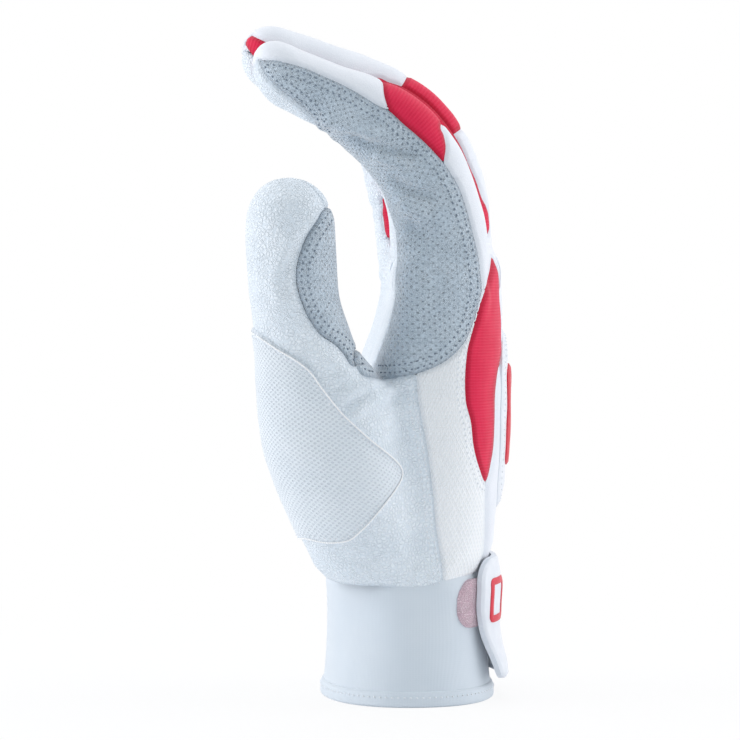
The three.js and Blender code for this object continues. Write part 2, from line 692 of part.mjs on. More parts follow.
// A plate with rounded ends on the back of the hand, raised by a height.
function backPlate(halfSpan, lowRise, highRise, raised, thickness) {
  const half = (rise) => {
    const t = (2 * rise - lowRise - highRise) / (highRise - lowRise);
    return halfSpan * Math.sqrt(1 - PLATE_END_SHARE * t ** PLATE_SQUARE);
  };
  const start = (rise) => BACK_OVERLAY_ANGLE - half(rise);
  const end = (rise) => BACK_OVERLAY_ANGLE + half(rise);
  return handSheet(lowRise, highRise, start, end, raised + thickness, raised);
}

const overlay = backPlate(BACK_OVERLAY_HALF_SPAN, BACK_OVERLAY_LOW_RISE, BACK_OVERLAY_HIGH_RISE,
  SEAT_GAP, OVERLAY_THICKNESS);
addPiece("backhand_overlay", "hand", overlay, white);
const badge = backPlate(BADGE_HALF_SPAN, BADGE_LOW_RISE, BADGE_HIGH_RISE,
  2 * SEAT_GAP + OVERLAY_THICKNESS, BADGE_THICKNESS);
addPiece("backhand_badge", "hand", badge, red);

// Cuff

function cuffPoint(angle, z, outward) {
  const drawIn = WAIST_DRAW_IN * Math.sin((Math.PI * z) / CUFF_HEIGHT);
  const sides = [CUFF_HALF_DEPTH, CUFF_HALF_BREADTH].map((half) => half - drawIn + outward);
  const [x, y] = sectionPoint(radians(angle), ...sides, WRIST_SQUARE);
  return new THREE.Vector3(x, y, z);
}

function cuffSheet(lowZ, highZ, startAngle, endAngle, outside, inside) {
  const levels = Math.ceil((highZ - lowZ) / CUFF_STEP);
  const columns = Math.ceil((endAngle(1) - startAngle(1)) / CUFF_FACET);
  return sheetSolid(columns, levels, (across, row, depth) => {
    const up = row / levels;
    const angle = mix(startAngle(up), endAngle(up), across);
    return cuffPoint(angle, mix(lowZ, highZ, up), mix(outside, inside, depth));
  });
}

const slitHalf = degrees(SLIT_WIDTH / 2 / CUFF_HALF_DEPTH);
const cuffStart = constantly(SLIT_ANGLE + slitHalf);
const cuffEnd = constantly(SLIT_ANGLE + 360 - slitHalf);
const band = cuffSheet(HEM_HEIGHT + SEAM_GAP, CUFF_HEIGHT, cuffStart, cuffEnd, 0, -CUFF_WALL);
addPiece("cuff_band", "hand", band, knit);
const hem = cuffSheet(0, HEM_HEIGHT, cuffStart, cuffEnd, HEM_EXTRA, -CUFF_WALL - HEM_EXTRA);
addPiece("cuff_hem", "hand", hem, knit);

// Closure tab

const tabTop = CUFF_HEIGHT - TAB_TOP_DROP;
const tabBottom = tabTop - TAB_HEIGHT;
const hookRaised = 2 * SEAT_GAP + TAPE_THICKNESS;
const tabRaised = hookRaised + TAPE_THICKNESS + SEAT_GAP;
const emblemRaised = tabRaised + TAB_THICKNESS + SEAT_GAP;
const tabFree = (up) => mix(TAB_FREE_LOW_ANGLE, TAB_FREE_ANGLE, ease(up, 0, TAB_CURVE_SHARE));
const hingeGap = degrees(SEAM_GAP / CUFF_HALF_DEPTH);
const tapeLow = tabBottom + TAPE_MARGIN;
const tapeHigh = tabTop - TAPE_MARGIN;

// The hinge stands where the tab reaches furthest out, at its top edge.
const hingePoint = cuffPoint(TAB_HINGE_ANGLE + hingeGap / 2, tabTop, tabRaised + TAB_THICKNESS);
addBody("closure_tab", "hand", hingePoint, UP);

const loop = cuffSheet(tapeLow, tapeHigh, constantly(LOOP_START), constantly(LOOP_END),
  SEAT_GAP + TAPE_THICKNESS, SEAT_GAP);
addPiece("loop_patch", "hand", loop, tape);
const anchor = cuffSheet(tabBottom, tabTop, constantly(TAB_HINGE_ANGLE + hingeGap),
  constantly(TAB_HINGE_ANGLE + TAB_ANCHOR_SPAN), tabRaised + TAB_THICKNESS, SEAT_GAP);
addPiece("tab_anchor", "hand", anchor, rubber);
const tab = cuffSheet(tabBottom, tabTop, tabFree, constantly(TAB_HINGE_ANGLE),
  tabRaised + TAB_THICKNESS, tabRaised);
addPiece("closure_tab", "closure_tab", tab, rubber);
const hook = cuffSheet(tapeLow, tapeHigh, constantly(HOOK_START), constantly(HOOK_END),
  hookRaised + TAPE_THICKNESS, hookRaised);
addPiece("hook_patch", "closure_tab", hook, tape);
const emblemMiddle = (tabTop + tabBottom) / 2;
const emblem = cuffSheet(emblemMiddle - EMBLEM_HEIGHT / 2, emblemMiddle + EMBLEM_HEIGHT / 2,
  constantly(EMBLEM_START), constantly(EMBLEM_END), emblemRaised + EMBLEM_THICKNESS, emblemRaised);
addPiece("tab_emblem", "closure_tab", emblem, red);

// The origin is under the middle of the whole glove, on the surface that the hem stands on.
const box = new THREE.Box3().setFromObject(glove);
const middle = box.getCenter(new THREE.Vector3());
bodies.get("hand").group.position.set(-middle.x, -middle.y, 0);

export default glove;
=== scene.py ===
"""Dresses the batting glove: sewn leather and stretch panels, mesh, knit cuff, closure tab and thread."""

import math

import bpy
import numpy as np
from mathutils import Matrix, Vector, noise


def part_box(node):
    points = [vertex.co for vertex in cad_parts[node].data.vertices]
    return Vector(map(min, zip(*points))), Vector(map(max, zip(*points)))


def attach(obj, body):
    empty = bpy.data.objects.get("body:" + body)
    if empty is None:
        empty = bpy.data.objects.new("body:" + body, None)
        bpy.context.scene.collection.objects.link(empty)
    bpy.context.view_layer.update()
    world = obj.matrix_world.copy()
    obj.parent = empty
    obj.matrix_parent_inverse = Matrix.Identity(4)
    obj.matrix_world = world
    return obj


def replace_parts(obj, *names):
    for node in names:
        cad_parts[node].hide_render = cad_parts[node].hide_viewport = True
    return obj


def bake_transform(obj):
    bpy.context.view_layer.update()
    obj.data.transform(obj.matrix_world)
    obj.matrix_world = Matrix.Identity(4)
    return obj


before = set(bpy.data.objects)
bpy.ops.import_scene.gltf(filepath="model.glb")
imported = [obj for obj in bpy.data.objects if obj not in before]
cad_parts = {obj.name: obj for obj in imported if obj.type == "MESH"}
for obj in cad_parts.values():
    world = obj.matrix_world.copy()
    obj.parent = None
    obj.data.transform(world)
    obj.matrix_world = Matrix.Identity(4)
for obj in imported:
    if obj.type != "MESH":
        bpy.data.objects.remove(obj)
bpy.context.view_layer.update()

MM = 0.001

# The photograph's camera. Its pixels are used below to draw the seams that the photograph shows.
PHOTO_SIDE = 740
PHOTO_MIDDLE = PHOTO_SIDE / 2
PIXELS_PER_MM = 3.5
CAMERA_AZIMUTH = -6.0
CAMERA_ELEVATION = 2.0
CAMERA_DISTANCE = 850.0
THUMB_SIDE_DEPTH = 31.0
LOOK_ASIDE = -10.9
LOOK_HEIGHT = 96.0
SENSOR_WIDTH = 36.0

# The cuff and the hand, in millimetres from the middle of the hem.
CUFF_HEIGHT = 44.0
CUFF_HALF_DEPTH = 25.0
CUFF_HALF_BREADTH = 30.5
CUFF_DRAW_IN = 1.6
CUFF_SQUARE = 2.2
CUFF_WALL = 2.0
SLIT_ANGLE = 14.0
SLIT_HALF_ANGLE = 3.2
KNUCKLE_RISE = 74.0
KNUCKLE_LEAN = 7.4
KNUCKLE_HALF_DEPTH = 16.0
KNUCKLE_HALF_BREADTH = 41.4
KNUCKLE_ARCH = 3.6
KNUCKLE_SQUARE = 3.4
PALM_HOLLOW = 0.27
PALM_HOLLOW_RISES = (45.0, 85.0)
PALM_HOLLOW_SIDES = (-10.0, 25.0)
HAND_BOTTOM_RISE = -14.0
HAND_DOME_RISE = 80.0
HAND_TOP_RISE = 92.0
LANE_RISE = 76.0

# The fingers and the thumb.
FINGER_SQUARE = 2.4
FINGER_GAP = 1.6
FINGER_LEAN = 2.0
BEND_REACH = 26.0
TIP_ROUND = 10.0
ROOT_CREASE = 15.0
KNUCKLE_BEND = 12.0
LINE_BEFORE, LINE_AFTER = 90.0, 30.0
FINGER_BELOW = 36.0
FINGER_TAPER = 72.0
DROP_LOWER, DROP_UPPER = (18.0, 34.0), (58.0, 86.0)
DROP_UPPER_SHARE = 0.65
TIP_NARROWING = 1.2
TIP_SLANT_REACH = 24.0
FINGERS = {
    "index": dict(rise=72, length=98.2, knuckle=47, curl_at=39.7, tip_curl_at=59.5, half_width=9.8,
                  depths=(13.2, 12.4, 8.3), drop=1.2, slant=2.6, curl=51.6, tip_curl=10.6, splay=0.0,
                  root_bend=(8, 34)),
    "middle": dict(rise=73, length=106, knuckle=52, curl_at=42.3, tip_curl_at=80, half_width=9.9,
                   depths=(13.6, 13.4, 9.1), drop=0.0, slant=0.8, curl=56, tip_curl=14.5, splay=0.0,
                   root_bend=(11, 37)),
    "ring": dict(rise=69, length=95, knuckle=48, curl_at=42, tip_curl_at=66, half_width=9.7,
                 depths=(13.2, 12.4, 10.0), drop=0.0, slant=3.0, curl=42.5, tip_curl=16, splay=1.5,
                 root_bend=(14, 35)),
    "little": dict(rise=63, length=80, knuckle=40, curl_at=35, tip_curl_at=55, half_width=8.8,
                   depths=(10.8, 10.4, 9.2), drop=0.0, slant=3.0, curl=14, tip_curl=8, splay=4.2,
                   root_bend=(15, 29)),
}
THUMB = dict(
    rise=(-14, 0, 16, 29, 41, 49, 57, 72, 89, 107),
    x=(-8.5, -14.0, -20, -24.5, -26.5, -28.2, -32.0, -36.6, -38.3, -38.9),
    y=(-16, -20, -25, -30, -34, -37, -40, -45, -49, -51),
    half_x=(15.0, 17, 18.5, 19, 19, 18, 14.9, 12.5, 12.4, 11.6),
    half_y=(12.5, 14, 17, 17, 16, 15, 13.4, 12, 11.6, 11.4),
)
THUMB_TOP = 107.0
THUMB_ROUND = 12.0
THUMB_SQUARE = 2.2
THUMB_BEND = (47.0, 67.0)

# Seams by angle: 0 is the back of the hand or finger, 90 the little-finger side, 180 the palm.
BACK_EDGE = 62.0
PALM_EDGE = 122.0
GREY_PALM_EDGE = 178.0
WEB_REACH = 9.0
GREY_WEB_EDGE = 138.0
OUTER_SIDE = 90.0
OUTER_SIDE_HALF = 28.0
OUTER_TOP = 71.0
OUTER_COVER = 1.5
OUTER_CORNER = 0.9
LANE_OVERLAP = 0.8
GUSSET_START = 86.0
SIDE_EDGE = 80.0
SIDE_MIDDLE = (PALM_EDGE + SIDE_EDGE) / 2
SIDE_HALF = (PALM_EDGE - SIDE_EDGE) / 2
KNUCKLE_PANEL = (-8.0, 9.0)
TIP_PATCH = 2.0
FOURCHETTE = (19.0, 66.0)
FOURCHETTE_SHOWS = 1.3
FINGER_REACH = 24.0
FINGER_SKIN = 1.2
HAND_RADIUS = 33.0
WRIST_RADIUS = 29.0
GREY_RADIUS = 12.0
STRIP_START = 66.0
SEEN_FACING = 0.22
PARTING_RISES = (84.0, 90.0)
INDEX_LANE_ENDS = (98.0, 92.0)
INDEX_CREASES = (50.0, 62.0)
BACK_END, PALM_END = 110.0, 100.0
OUTER_START = 40.0
OUTER_DIP = 0.4
OUTER_DIP_REACH = 4.0

# The grey leather of the index finger, by length along the finger, and the leaf and mesh beside it.
GREY_NARROWS = (6.0, 62.0)
GREY_WEB = (-19.0, -4.0)
GREY_BACK_EDGE = 290.0
GREY_CORNER = 4.0
STRIP_OVERLAP = (44.0, 56.0)
WEB_STARTS = (0.0, -10.0)
WEB_DEPTH = 30.0
LEAF_BACK, LEAF_BOW = 15.0, 5.0
LEAF_MIDDLE, LEAF_HALF_HEIGHT = 47.0, 27.0
FRONT_LINE = 4.0
MESH_TOP = 70.0
GREY_STITCHES, GRIP_STITCHES = (1.5, 3.5), (1.5, 3.3)
LEAF_STITCHES, MESH_STITCHES = (0.9, 2.4), (1.2, 2.8)

# Plates: middle and half size, by angle and height, and the corner's radius.
PLATE = dict(turn=2, height=38, half_turn=26, half_height=27, corner=9)
BADGE = dict(turn=2, height=39, half_turn=14, half_height=15, corner=4)
EMBLEM = dict(turn=-27, height=29.5, half_turn=12.5, half_height=6.5, corner=2)
HOOK_TAPE = dict(turn=-6, height=25.5, half_turn=14, half_height=12.5, corner=2)
LOOP_TAPE = dict(turn=-28, height=29, half_turn=34, half_height=7, corner=6)
PLATE_RADIUS = 26.0
PLATE_CROWN = 1.7
FAR_INSIDE = 9.0

# The thumb's seams, by angle round the thumb and by rise.
THUMB_SEAM_RADIUS = 12.0
THUMB_RADIUS = 14.0
THUMB_SKIN = 1.14
GRIP_ANGLES = (-125.0, 45.0)
GRIP_OVER, PATCH_OVER = 8.0, 4.0
THUMB_BACK_ANGLE = 105.0
THUMB_BACK_HALF = 60.0
THUMB_BACK_START = 56.0
THUMB_BACK_LIMITS = (45.0, -35.0)
THUMB_BACK_TURNS = (93.0, 99.0)
BALL_RADIUS = 30.0
BALL_ANGLES = (126.0, 150.0)
BALL_RISES = (20.0, 55.0)
BALL_TOP = 60.0
BALL_CORNER = 14.0
PATCH_ANGLE = 232.0
PATCH_HALF = 118.0
PATCH_CORNER = 6.0

# The walls inside the crotches of the fingers.
WEB_RISES = (72.0, 91.0)
WEB_GAP = 0.5
WEB_NEAR = 1.6
WEB_INSETS = (3.0, 5.5)
WEB_ROWS, WEB_COLUMNS = 14, 10

# The hem, and the closure tab by angle round the cuff and by height.
CUFF_RADIUS = 28.0
CUFF_SINK = 1.3
CUFF_LEAN_IN = 1.6
HEM_HEIGHT = 4.6
HEM_PUFF = 0.75
TAB_TOP, TAB_BOTTOM = 41.5, 6.5
TAB_HINGE_ANGLE = 40.0
TAB_FREE_ANGLES = (-34.0, -47.0)
TAB_RAISED = 3.8
TAB_FLARE = 2.4
TAB_THICKNESS = 1.6
TAB_BEND = 10.0
ANCHOR_END_ANGLE = 56.0
EMBLEM_RAISED = 0.6
EMBLEM_WIDTH = 2.0
LOOP_RAISED = 1.1
ANCHOR_RAISED = TAB_RAISED - 0.6

# Leather and sewing.
LEATHER = 0.9
TUCK = 0.55
TUCK_REACH = 1.1
RIDGE_AT = 0.45
PUFF = 0.22
PUFF_REACH = 4.0
STITCH_PITCH = 1.8
STITCH_LENGTH = 0.85
THREAD_RADIUS = 0.24
CORD_PITCH = 0.7
CORD_LENGTH = 1.0
CORD_LIFT = 0.15
LAP = 0.7
LAP_DIP = 0.3
LAP_REACH = 2.4
STITCH_LIFTS = np.array([-0.22, 0.1, 0.1, -0.22])
STITCH_WIDTHS = np.array([0.6, 1, 1, 0.6])
THREAD_SIDES = 6
SHARP_ANGLE = 58.0

# The smooth forms that the panels are cut from.
VOXEL = 0.95
RING_SIDES = 72
RING_STEP = 1.5
END_STEP = 0.05
SMOOTH_PULLS = (0.5, -0.52)
HOLLOW_START = 0.02
HOLLOW_RANGE = 0.05
HOLLOW_SPREADS = 6
HOLLOW_ROUNDS = 30
UNEVEN_HEIGHT = 0.3
UNEVEN_SIZE = 9.0
TINY = 1e-9

# Light.
WORLD_LIGHT = 0.64
WORLD_TINT = (0.91, 0.97, 1.0, 1)
LAMP_TINT = (1.0, 0.965, 0.985)
LAMP_AIM = (0, 0, 0.1)
LAMPS = [
    ("left softbox", (-1.0, 0.05, 0.3), (0.7, 1.0), 6.6),
    ("right softbox", (1.0, 0.0, 0.4), (0.7, 1.0), 5.0),
    ("top softbox", (0.0, 0.1, 1.1), (0.9, 0.9), 3.0),
]
FLOOR_REACH = 3.0

low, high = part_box("cuff_hem")
HAND_PLACE = np.array([(low.x + high.x) / 2, (low.y + high.y) / 2, 0]) / MM


def mix(first, second, share):
    return first + (second - first) * share


def ease(value, start, end):
    share = np.clip((value - start) / (end - start), 0, 1)
    return share * share * (3 - 2 * share)


def turned(angle, middle):
    """The angle as degrees either side of a middle angle."""
    return (angle - middle + 180) % 360 - 180


def section(angle, half_x, half_y, square):
    cosine, sine = np.cos(angle), np.sin(angle)
    reach = (np.abs(cosine) ** square + np.abs(sine) ** square) ** (-1 / square)
    return half_x * reach * cosine, half_y * reach * sine


def section_angle(x, y, half_x, half_y):
    return np.degrees(np.arctan2(y / half_y, x / half_x))


def dome(at, end, rounding):
    past = np.clip((at - end + rounding) / rounding, 0, 1)
    return np.sqrt(1 - past * past)


def camera_axes():
    azimuth, elevation = math.radians(CAMERA_AZIMUTH), math.radians(CAMERA_ELEVATION)
    forward = np.array([
        -math.sin(azimuth) * math.cos(elevation),
        math.cos(azimuth) * math.cos(elevation),
        -math.sin(elevation),
    ])
    right = np.array([math.cos(azimuth), math.sin(azimuth), 0])
    return forward, right, np.cross(right, forward)


VIEW_FORWARD, VIEW_RIGHT, VIEW_UP = camera_axes()
VIEW_TARGET = LOOK_ASIDE * VIEW_RIGHT + np.array([0, 0, LOOK_HEIGHT])
VIEW_EYE = VIEW_TARGET - CAMERA_DISTANCE * VIEW_FORWARD
FOCAL_PIXELS = PIXELS_PER_MM * (CAMERA_DISTANCE - THUMB_SIDE_DEPTH)


def to_photo(points):
    offset = points - VIEW_EYE
    scale = FOCAL_PIXELS / (offset @ VIEW_FORWARD)
    across = PHOTO_MIDDLE + scale * (offset @ VIEW_RIGHT)
    down = PHOTO_MIDDLE - scale * (offset @ VIEW_UP)
    return np.stack([across, down], axis=1)


def hand_shape(rise):
    along = np.clip(rise / KNUCKLE_RISE, 0, 1)
    fullness = along ** 1.5
    return dict(
        x=KNUCKLE_LEAN * along,
        half_depth=mix(CUFF_HALF_DEPTH, KNUCKLE_HALF_DEPTH, fullness),
        half_breadth=mix(CUFF_HALF_BREADTH, KNUCKLE_HALF_BREADTH, np.sin(along * math.pi / 2)),
        arch=KNUCKLE_ARCH * fullness,
        square=mix(CUFF_SQUARE, KNUCKLE_SQUARE, along),
    )


def arch_lift(shape, y):
    return shape["arch"] * (1 - 2 * (y / shape["half_breadth"]) ** 2)


def hand_angle(points):
    shape = hand_shape(points[:, 2] - CUFF_HEIGHT)
    across = points[:, 0] - shape["x"] - arch_lift(shape, points[:, 1])
    return section_angle(across, points[:, 1], shape["half_depth"], shape["half_breadth"])


RING = np.radians(np.linspace(0, 360, RING_SIDES, endpoint=False))


def hand_rings():
    rings = []
    for rise in np.arange(HAND_BOTTOM_RISE, HAND_TOP_RISE, RING_STEP):
        shape = hand_shape(rise)
        rounding = HAND_TOP_RISE - HAND_DOME_RISE
        inset = rounding * (1 - dome(rise, HAND_TOP_RISE, rounding))
        x, y = section(RING, shape["half_depth"] - inset, shape["half_breadth"] - inset, shape["square"])
        hollow = PALM_HOLLOW * ease(rise, *PALM_HOLLOW_RISES) * ease(y, *PALM_HOLLOW_SIDES)
        x = np.where(x < 0, x * (1 - hollow), x)
        z = np.full(RING_SIDES, CUFF_HEIGHT + rise)
        rings.append(np.stack([shape["x"] + x + arch_lift(shape, y), y, z], axis=1))
    return rings


def ring_stops(start, end):
    """Where a tube's rings stand, the last one just short of its end."""
    return np.append(np.arange(start, end - 2 * END_STEP, RING_STEP), end - END_STEP)


class Finger:
    """The middle line of one finger, and the round section that it carries."""

    def __init__(self, name, lane_start):
        self.name = name
        self.size = FINGERS[name]
        self.half_width = self.size["half_width"]
        self.length = self.size["length"]
        self.knuckle = self.size["knuckle"]
        self.split = self.size["root_bend"][1]
        self.lane_start = lane_start
        self.lane_end = lane_start + 2 * self.half_width + FINGER_GAP
        middle = (self.lane_start + self.lane_end) / 2
        lean_in = KNUCKLE_LEAN + arch_lift(hand_shape(KNUCKLE_RISE), middle)
        self.root = np.array([lean_in, middle, CUFF_HEIGHT + self.size["rise"]])
        self.splay = math.radians(self.size["splay"])
        self.stations = np.arange(-LINE_BEFORE, self.length + LINE_AFTER)
        lean = self.lean(self.stations)
        halfway = self.lean(self.stations[:-1] + 0.5)
        x = np.concatenate([[0], np.cumsum(-np.sin(halfway))])
        z = np.concatenate([[0], np.cumsum(np.cos(halfway))])
        start = np.argmin(np.abs(self.stations))
        self.line = np.stack([x - x[start], z - z[start]], axis=1)
        self.leans = lean

    def lean(self, along):
        bends = (("curl", "curl_at"), ("tip_curl", "tip_curl_at"))
        total = np.full(np.shape(along), FINGER_LEAN)
        for curl, at in bends:
            place = self.size[at]
            total = total + self.size[curl] * ease(along, place - BEND_REACH, place + BEND_REACH)
        return np.radians(total)

    def half_depth(self, along):
        root, middle, end = self.size["depths"]
        lower = mix(root, middle, ease(along, 0, self.knuckle))
        return mix(lower, end, ease(along, self.knuckle, self.length - TIP_ROUND))

    def drop(self, along):
        """How far the finger's middle lies to the palm side of its line."""
        return self.size["drop"] * (ease(along, *DROP_LOWER) + DROP_UPPER_SHARE * ease(along, *DROP_UPPER))

    def side_half(self, along):
        return self.half_width - TIP_NARROWING * ease(along, self.knuckle, self.length - TIP_ROUND)

    def point(self, along, lift, side):
        along, lift, side = np.broadcast_arrays(along, lift, side)
        lean = np.interp(along, self.stations, self.leans)
        x = np.interp(along, self.stations, self.line[:, 0]) + lift * np.cos(lean)
        z = np.interp(along, self.stations, self.line[:, 1]) + lift * np.sin(lean)
        cosine, sine = math.cos(self.splay), math.sin(self.splay)
        return self.root + np.stack([x, side * cosine + z * sine, z * cosine - side * sine], axis=-1)

    def rings(self):
        rings = []
        for along in ring_stops(-FINGER_BELOW, self.length):
            taper = dome(along, self.length, TIP_ROUND) * min(1, 1 + along / FINGER_TAPER)
            half_depth, half_width = self.half_depth(along), self.side_half(along)
            lift, side = section(RING, half_depth * taper, half_width * taper, FINGER_SQUARE)
            slant = self.size["slant"] * ease(along, self.length - TIP_SLANT_REACH, self.length)
            ahead = along + slant * lift / half_depth
            rings.append(self.point(ahead, lift - self.drop(along), side))
        return rings

    def locate(self, points):
        """Length along the finger, lift off its middle line and angle round it, for each point."""
        offset = points - self.root
        cosine, sine = math.cos(self.splay), math.sin(self.splay)
        side = offset[:, 1] * cosine - offset[:, 2] * sine
        height = offset[:, 1] * sine + offset[:, 2] * cosine
        flat = np.stack([offset[:, 0], height], axis=1)
        nearest = np.concatenate([
            np.argmin(((part[:, None, :] - self.line[None]) ** 2).sum(axis=2), axis=1)
            for part in np.array_split(flat, max(1, len(flat) // 4000))
        ])
        lean = self.leans[nearest]
        away = flat - self.line[nearest]
        along = self.stations[nearest] + away[:, 1] * np.cos(lean) - away[:, 0] * np.sin(lean)
        lift = away[:, 0] * np.cos(lean) + away[:, 1] * np.sin(lean) + self.drop(along)
        around = section_angle(lift, side, self.half_depth(along), self.side_half(along))
        return along, lift, around


def make_fingers():
    fingers = {}
    lane = -KNUCKLE_HALF_BREADTH
    for name in FINGERS:
        fingers[name] = Finger(name, lane)
        lane = fingers[name].lane_end
    return fingers


def thumb_size(rise, key):
    rises, values = np.array(THUMB["rise"], float), np.array(THUMB[key], float)
    slopes = np.gradient(values, rises)
    rise = np.clip(rise, rises[0], rises[-1])
    step = np.clip(np.searchsorted(rises, rise, side="right") - 1, 0, len(rises) - 2)
    span = rises[step + 1] - rises[step]
    share = (rise - rises[step]) / span
    smooth = mix(values[step], values[step + 1], share * share * (3 - 2 * share))
    pull = slopes[step] * (1 - share) - slopes[step + 1] * share
    return smooth + span * share * (1 - share) * pull


def thumb_rings():
    rings = []
    for rise in ring_stops(THUMB["rise"][0], THUMB_TOP):
        taper = dome(rise, THUMB_TOP, THUMB_ROUND)
        half_x, half_y = (thumb_size(rise, key) * taper for key in ("half_x", "half_y"))
        x, y = section(RING, half_x, half_y, THUMB_SQUARE)
        z = np.full(RING_SIDES, CUFF_HEIGHT + rise)
        rings.append(np.stack([thumb_size(rise, "x") + x, thumb_size(rise, "y") + y, z], axis=1))
    return rings


def thumb_place(points):
    """How far out of the thumb's middle each point is, 1 on its skin, and the angle round the thumb."""
    rise = points[:, 2] - CUFF_HEIGHT
    x = (points[:, 0] - thumb_size(rise, "x")) / thumb_size(rise, "half_x")
    y = (points[:, 1] - thumb_size(rise, "y")) / thumb_size(rise, "half_y")
    return np.hypot(x, y), np.degrees(np.arctan2(y, x))


def cuff_point(angle, height, out):
    draw_in = CUFF_DRAW_IN * np.sin(np.pi * height / CUFF_HEIGHT)
    half_depth, half_breadth = (half - draw_in + out for half in (CUFF_HALF_DEPTH, CUFF_HALF_BREADTH))
    x, y = section(np.radians(angle), half_depth, half_breadth, CUFF_SQUARE)
    return np.stack(np.broadcast_arrays(x, y, height), axis=-1)


class Skin:
    """A sheet of triangles, with a normal and named values at each point."""

    def __init__(self, points, triangles, normals=None, values=None):
        self.points = points
        self.triangles = triangles
        self.normals = point_normals(points, triangles) if normals is None else normals
        self.values = dict(values or {})

    def picked(self, kept):
        """The same sheet with only some of its triangles."""
        used = np.unique(self.triangles[kept])
        place = np.full(len(self.points), -1)
        place[used] = np.arange(len(used))
        values = {name: value[used] for name, value in self.values.items()}
        return Skin(self.points[used], place[self.triangles[kept]], self.normals[used], values)


def unit(vectors):
    return vectors / np.maximum(np.linalg.norm(vectors, axis=1, keepdims=True), TINY)


def point_normals(points, triangles):
    first, second, third = (points[triangles[:, k]] for k in range(3))
    faces = np.cross(second - first, third - first)
    total = np.zeros_like(points)
    for k in range(3):
        np.add.at(total, triangles[:, k], faces)
    return unit(total)


def tube_faces(base, rings):
    """The faces of a closed tube of rings, with flat ends."""
    faces = []
    for start in range(base, base + (rings - 1) * RING_SIDES, RING_SIDES):
        for k in range(RING_SIDES):
            after = (k + 1) % RING_SIDES
            faces.append((start + k, start + after, start + RING_SIDES + after, start + RING_SIDES + k))
    last = base + (rings - 1) * RING_SIDES
    faces.append(tuple(range(base + RING_SIDES - 1, base - 1, -1)))
    faces.append(tuple(range(last, last + RING_SIDES)))
    return faces


def fused(tubes):
    """One smooth closed skin round several closed tubes."""
    points, faces = [], []
    for rings in tubes:
        faces += tube_faces(sum(len(part) for part in points), len(rings))
        points.append(np.concatenate(rings))
    mesh = bpy.data.meshes.new("form")
    mesh.from_pydata((np.concatenate(points) * MM).tolist(), [], faces)
    form = bpy.data.objects.new("form", mesh)
    bpy.context.scene.collection.objects.link(form)
    remesh = form.modifiers.new("fuse", "REMESH")
    remesh.mode = "VOXEL"
    remesh.voxel_size = VOXEL * MM
    result = form.evaluated_get(bpy.context.evaluated_depsgraph_get())
    found = result.to_mesh()
    found.calc_loop_triangles()
    places = np.empty(len(found.vertices) * 3)
    found.vertices.foreach_get("co", places)
    corners = np.empty(len(found.loop_triangles) * 3, np.int32)
    found.loop_triangles.foreach_get("vertices", corners)
    result.to_mesh_clear()
    bpy.data.objects.remove(form)
    bpy.data.meshes.remove(mesh)
    return soften(places.reshape(-1, 3) / MM, corners.reshape(-1, 3).astype(np.int64))


def neighbour_mean(values, pairs, degree):
    total = np.zeros_like(values)
    np.add.at(total, pairs[:, 0], values[pairs[:, 1]])
    return total / (degree[:, None] if values.ndim > 1 else degree)


def triangle_edges(triangles):
    return np.concatenate([triangles[:, (0, 1)], triangles[:, (1, 2)], triangles[:, (2, 0)]])


def soften(points, triangles):
    """Smooths the steps of the voxels, and rounds the hollow joins between the fused tubes."""
    edges = triangle_edges(triangles)
    pairs = np.unique(np.concatenate([edges, edges[:, ::-1]]), axis=0)
    degree = np.bincount(pairs[:, 0], minlength=len(points)).astype(float)

    def pulled(points, pull):
        return points + pull * (neighbour_mean(points, pairs, degree) - points)

    for pull in SMOOTH_PULLS * 8:
        points = pulled(points, pull)
    normals = point_normals(points, triangles)
    bend = ((neighbour_mean(points, pairs, degree) - points) * normals).sum(axis=1)
    hollow = np.clip((bend - HOLLOW_START) / HOLLOW_RANGE, 0, 1)
    for _ in range(HOLLOW_SPREADS):
        hollow = np.maximum(hollow, neighbour_mean(hollow, pairs, degree))
    for _ in range(HOLLOW_ROUNDS):
        points = pulled(points, SMOOTH_PULLS[0] * hollow[:, None])
    for pull in SMOOTH_PULLS * 4:
        points = pulled(points, pull)
    return Skin(points, triangles)


def scored(skin, name, level):
    """Cuts the triangles along the line where a named value is level. Also gives that line's point pairs."""
    value = skin.values[name] - level
    value = np.where(np.abs(value) < 0.02, 0.02, value)
    above = value[skin.triangles] > 0
    count = above.sum(axis=1)
    crossed = (count == 1) | (count == 2)
    if not crossed.any():
        return skin, np.zeros((0, 2), np.int64)
    odd = np.argmax(above[crossed] == (count[crossed] == 1)[:, None], axis=1)
    order = (odd[:, None] + np.arange(3)) % 3
    tip, left, right = np.take_along_axis(skin.triangles[crossed], order, axis=1).T
    ends = np.sort(np.concatenate([np.stack([tip, left], 1), np.stack([tip, right], 1)]), axis=1)
    ends, place = np.unique(ends, axis=0, return_inverse=True)
    place = place.reshape(-1) + len(skin.points)
    share = value[ends[:, 0]] / (value[ends[:, 0]] - value[ends[:, 1]])

    def between(array):
        weight = share if array.ndim == 1 else share[:, None]
        return np.concatenate([array, mix(array[ends[:, 0]], array[ends[:, 1]], weight)])

    cut_left, cut_right = place[:len(tip)], place[len(tip):]
    triangles = np.concatenate([
        skin.triangles[~crossed],
        np.stack([tip, cut_left, cut_right], 1),
        np.stack([cut_left, left, right], 1),
        np.stack([cut_left, right, cut_right], 1),
    ])
    values = {key: between(array) for key, array in skin.values.items()}
    line = np.stack([cut_left, cut_right], 1)
    return Skin(between(skin.points), triangles, unit(between(skin.normals)), values), line


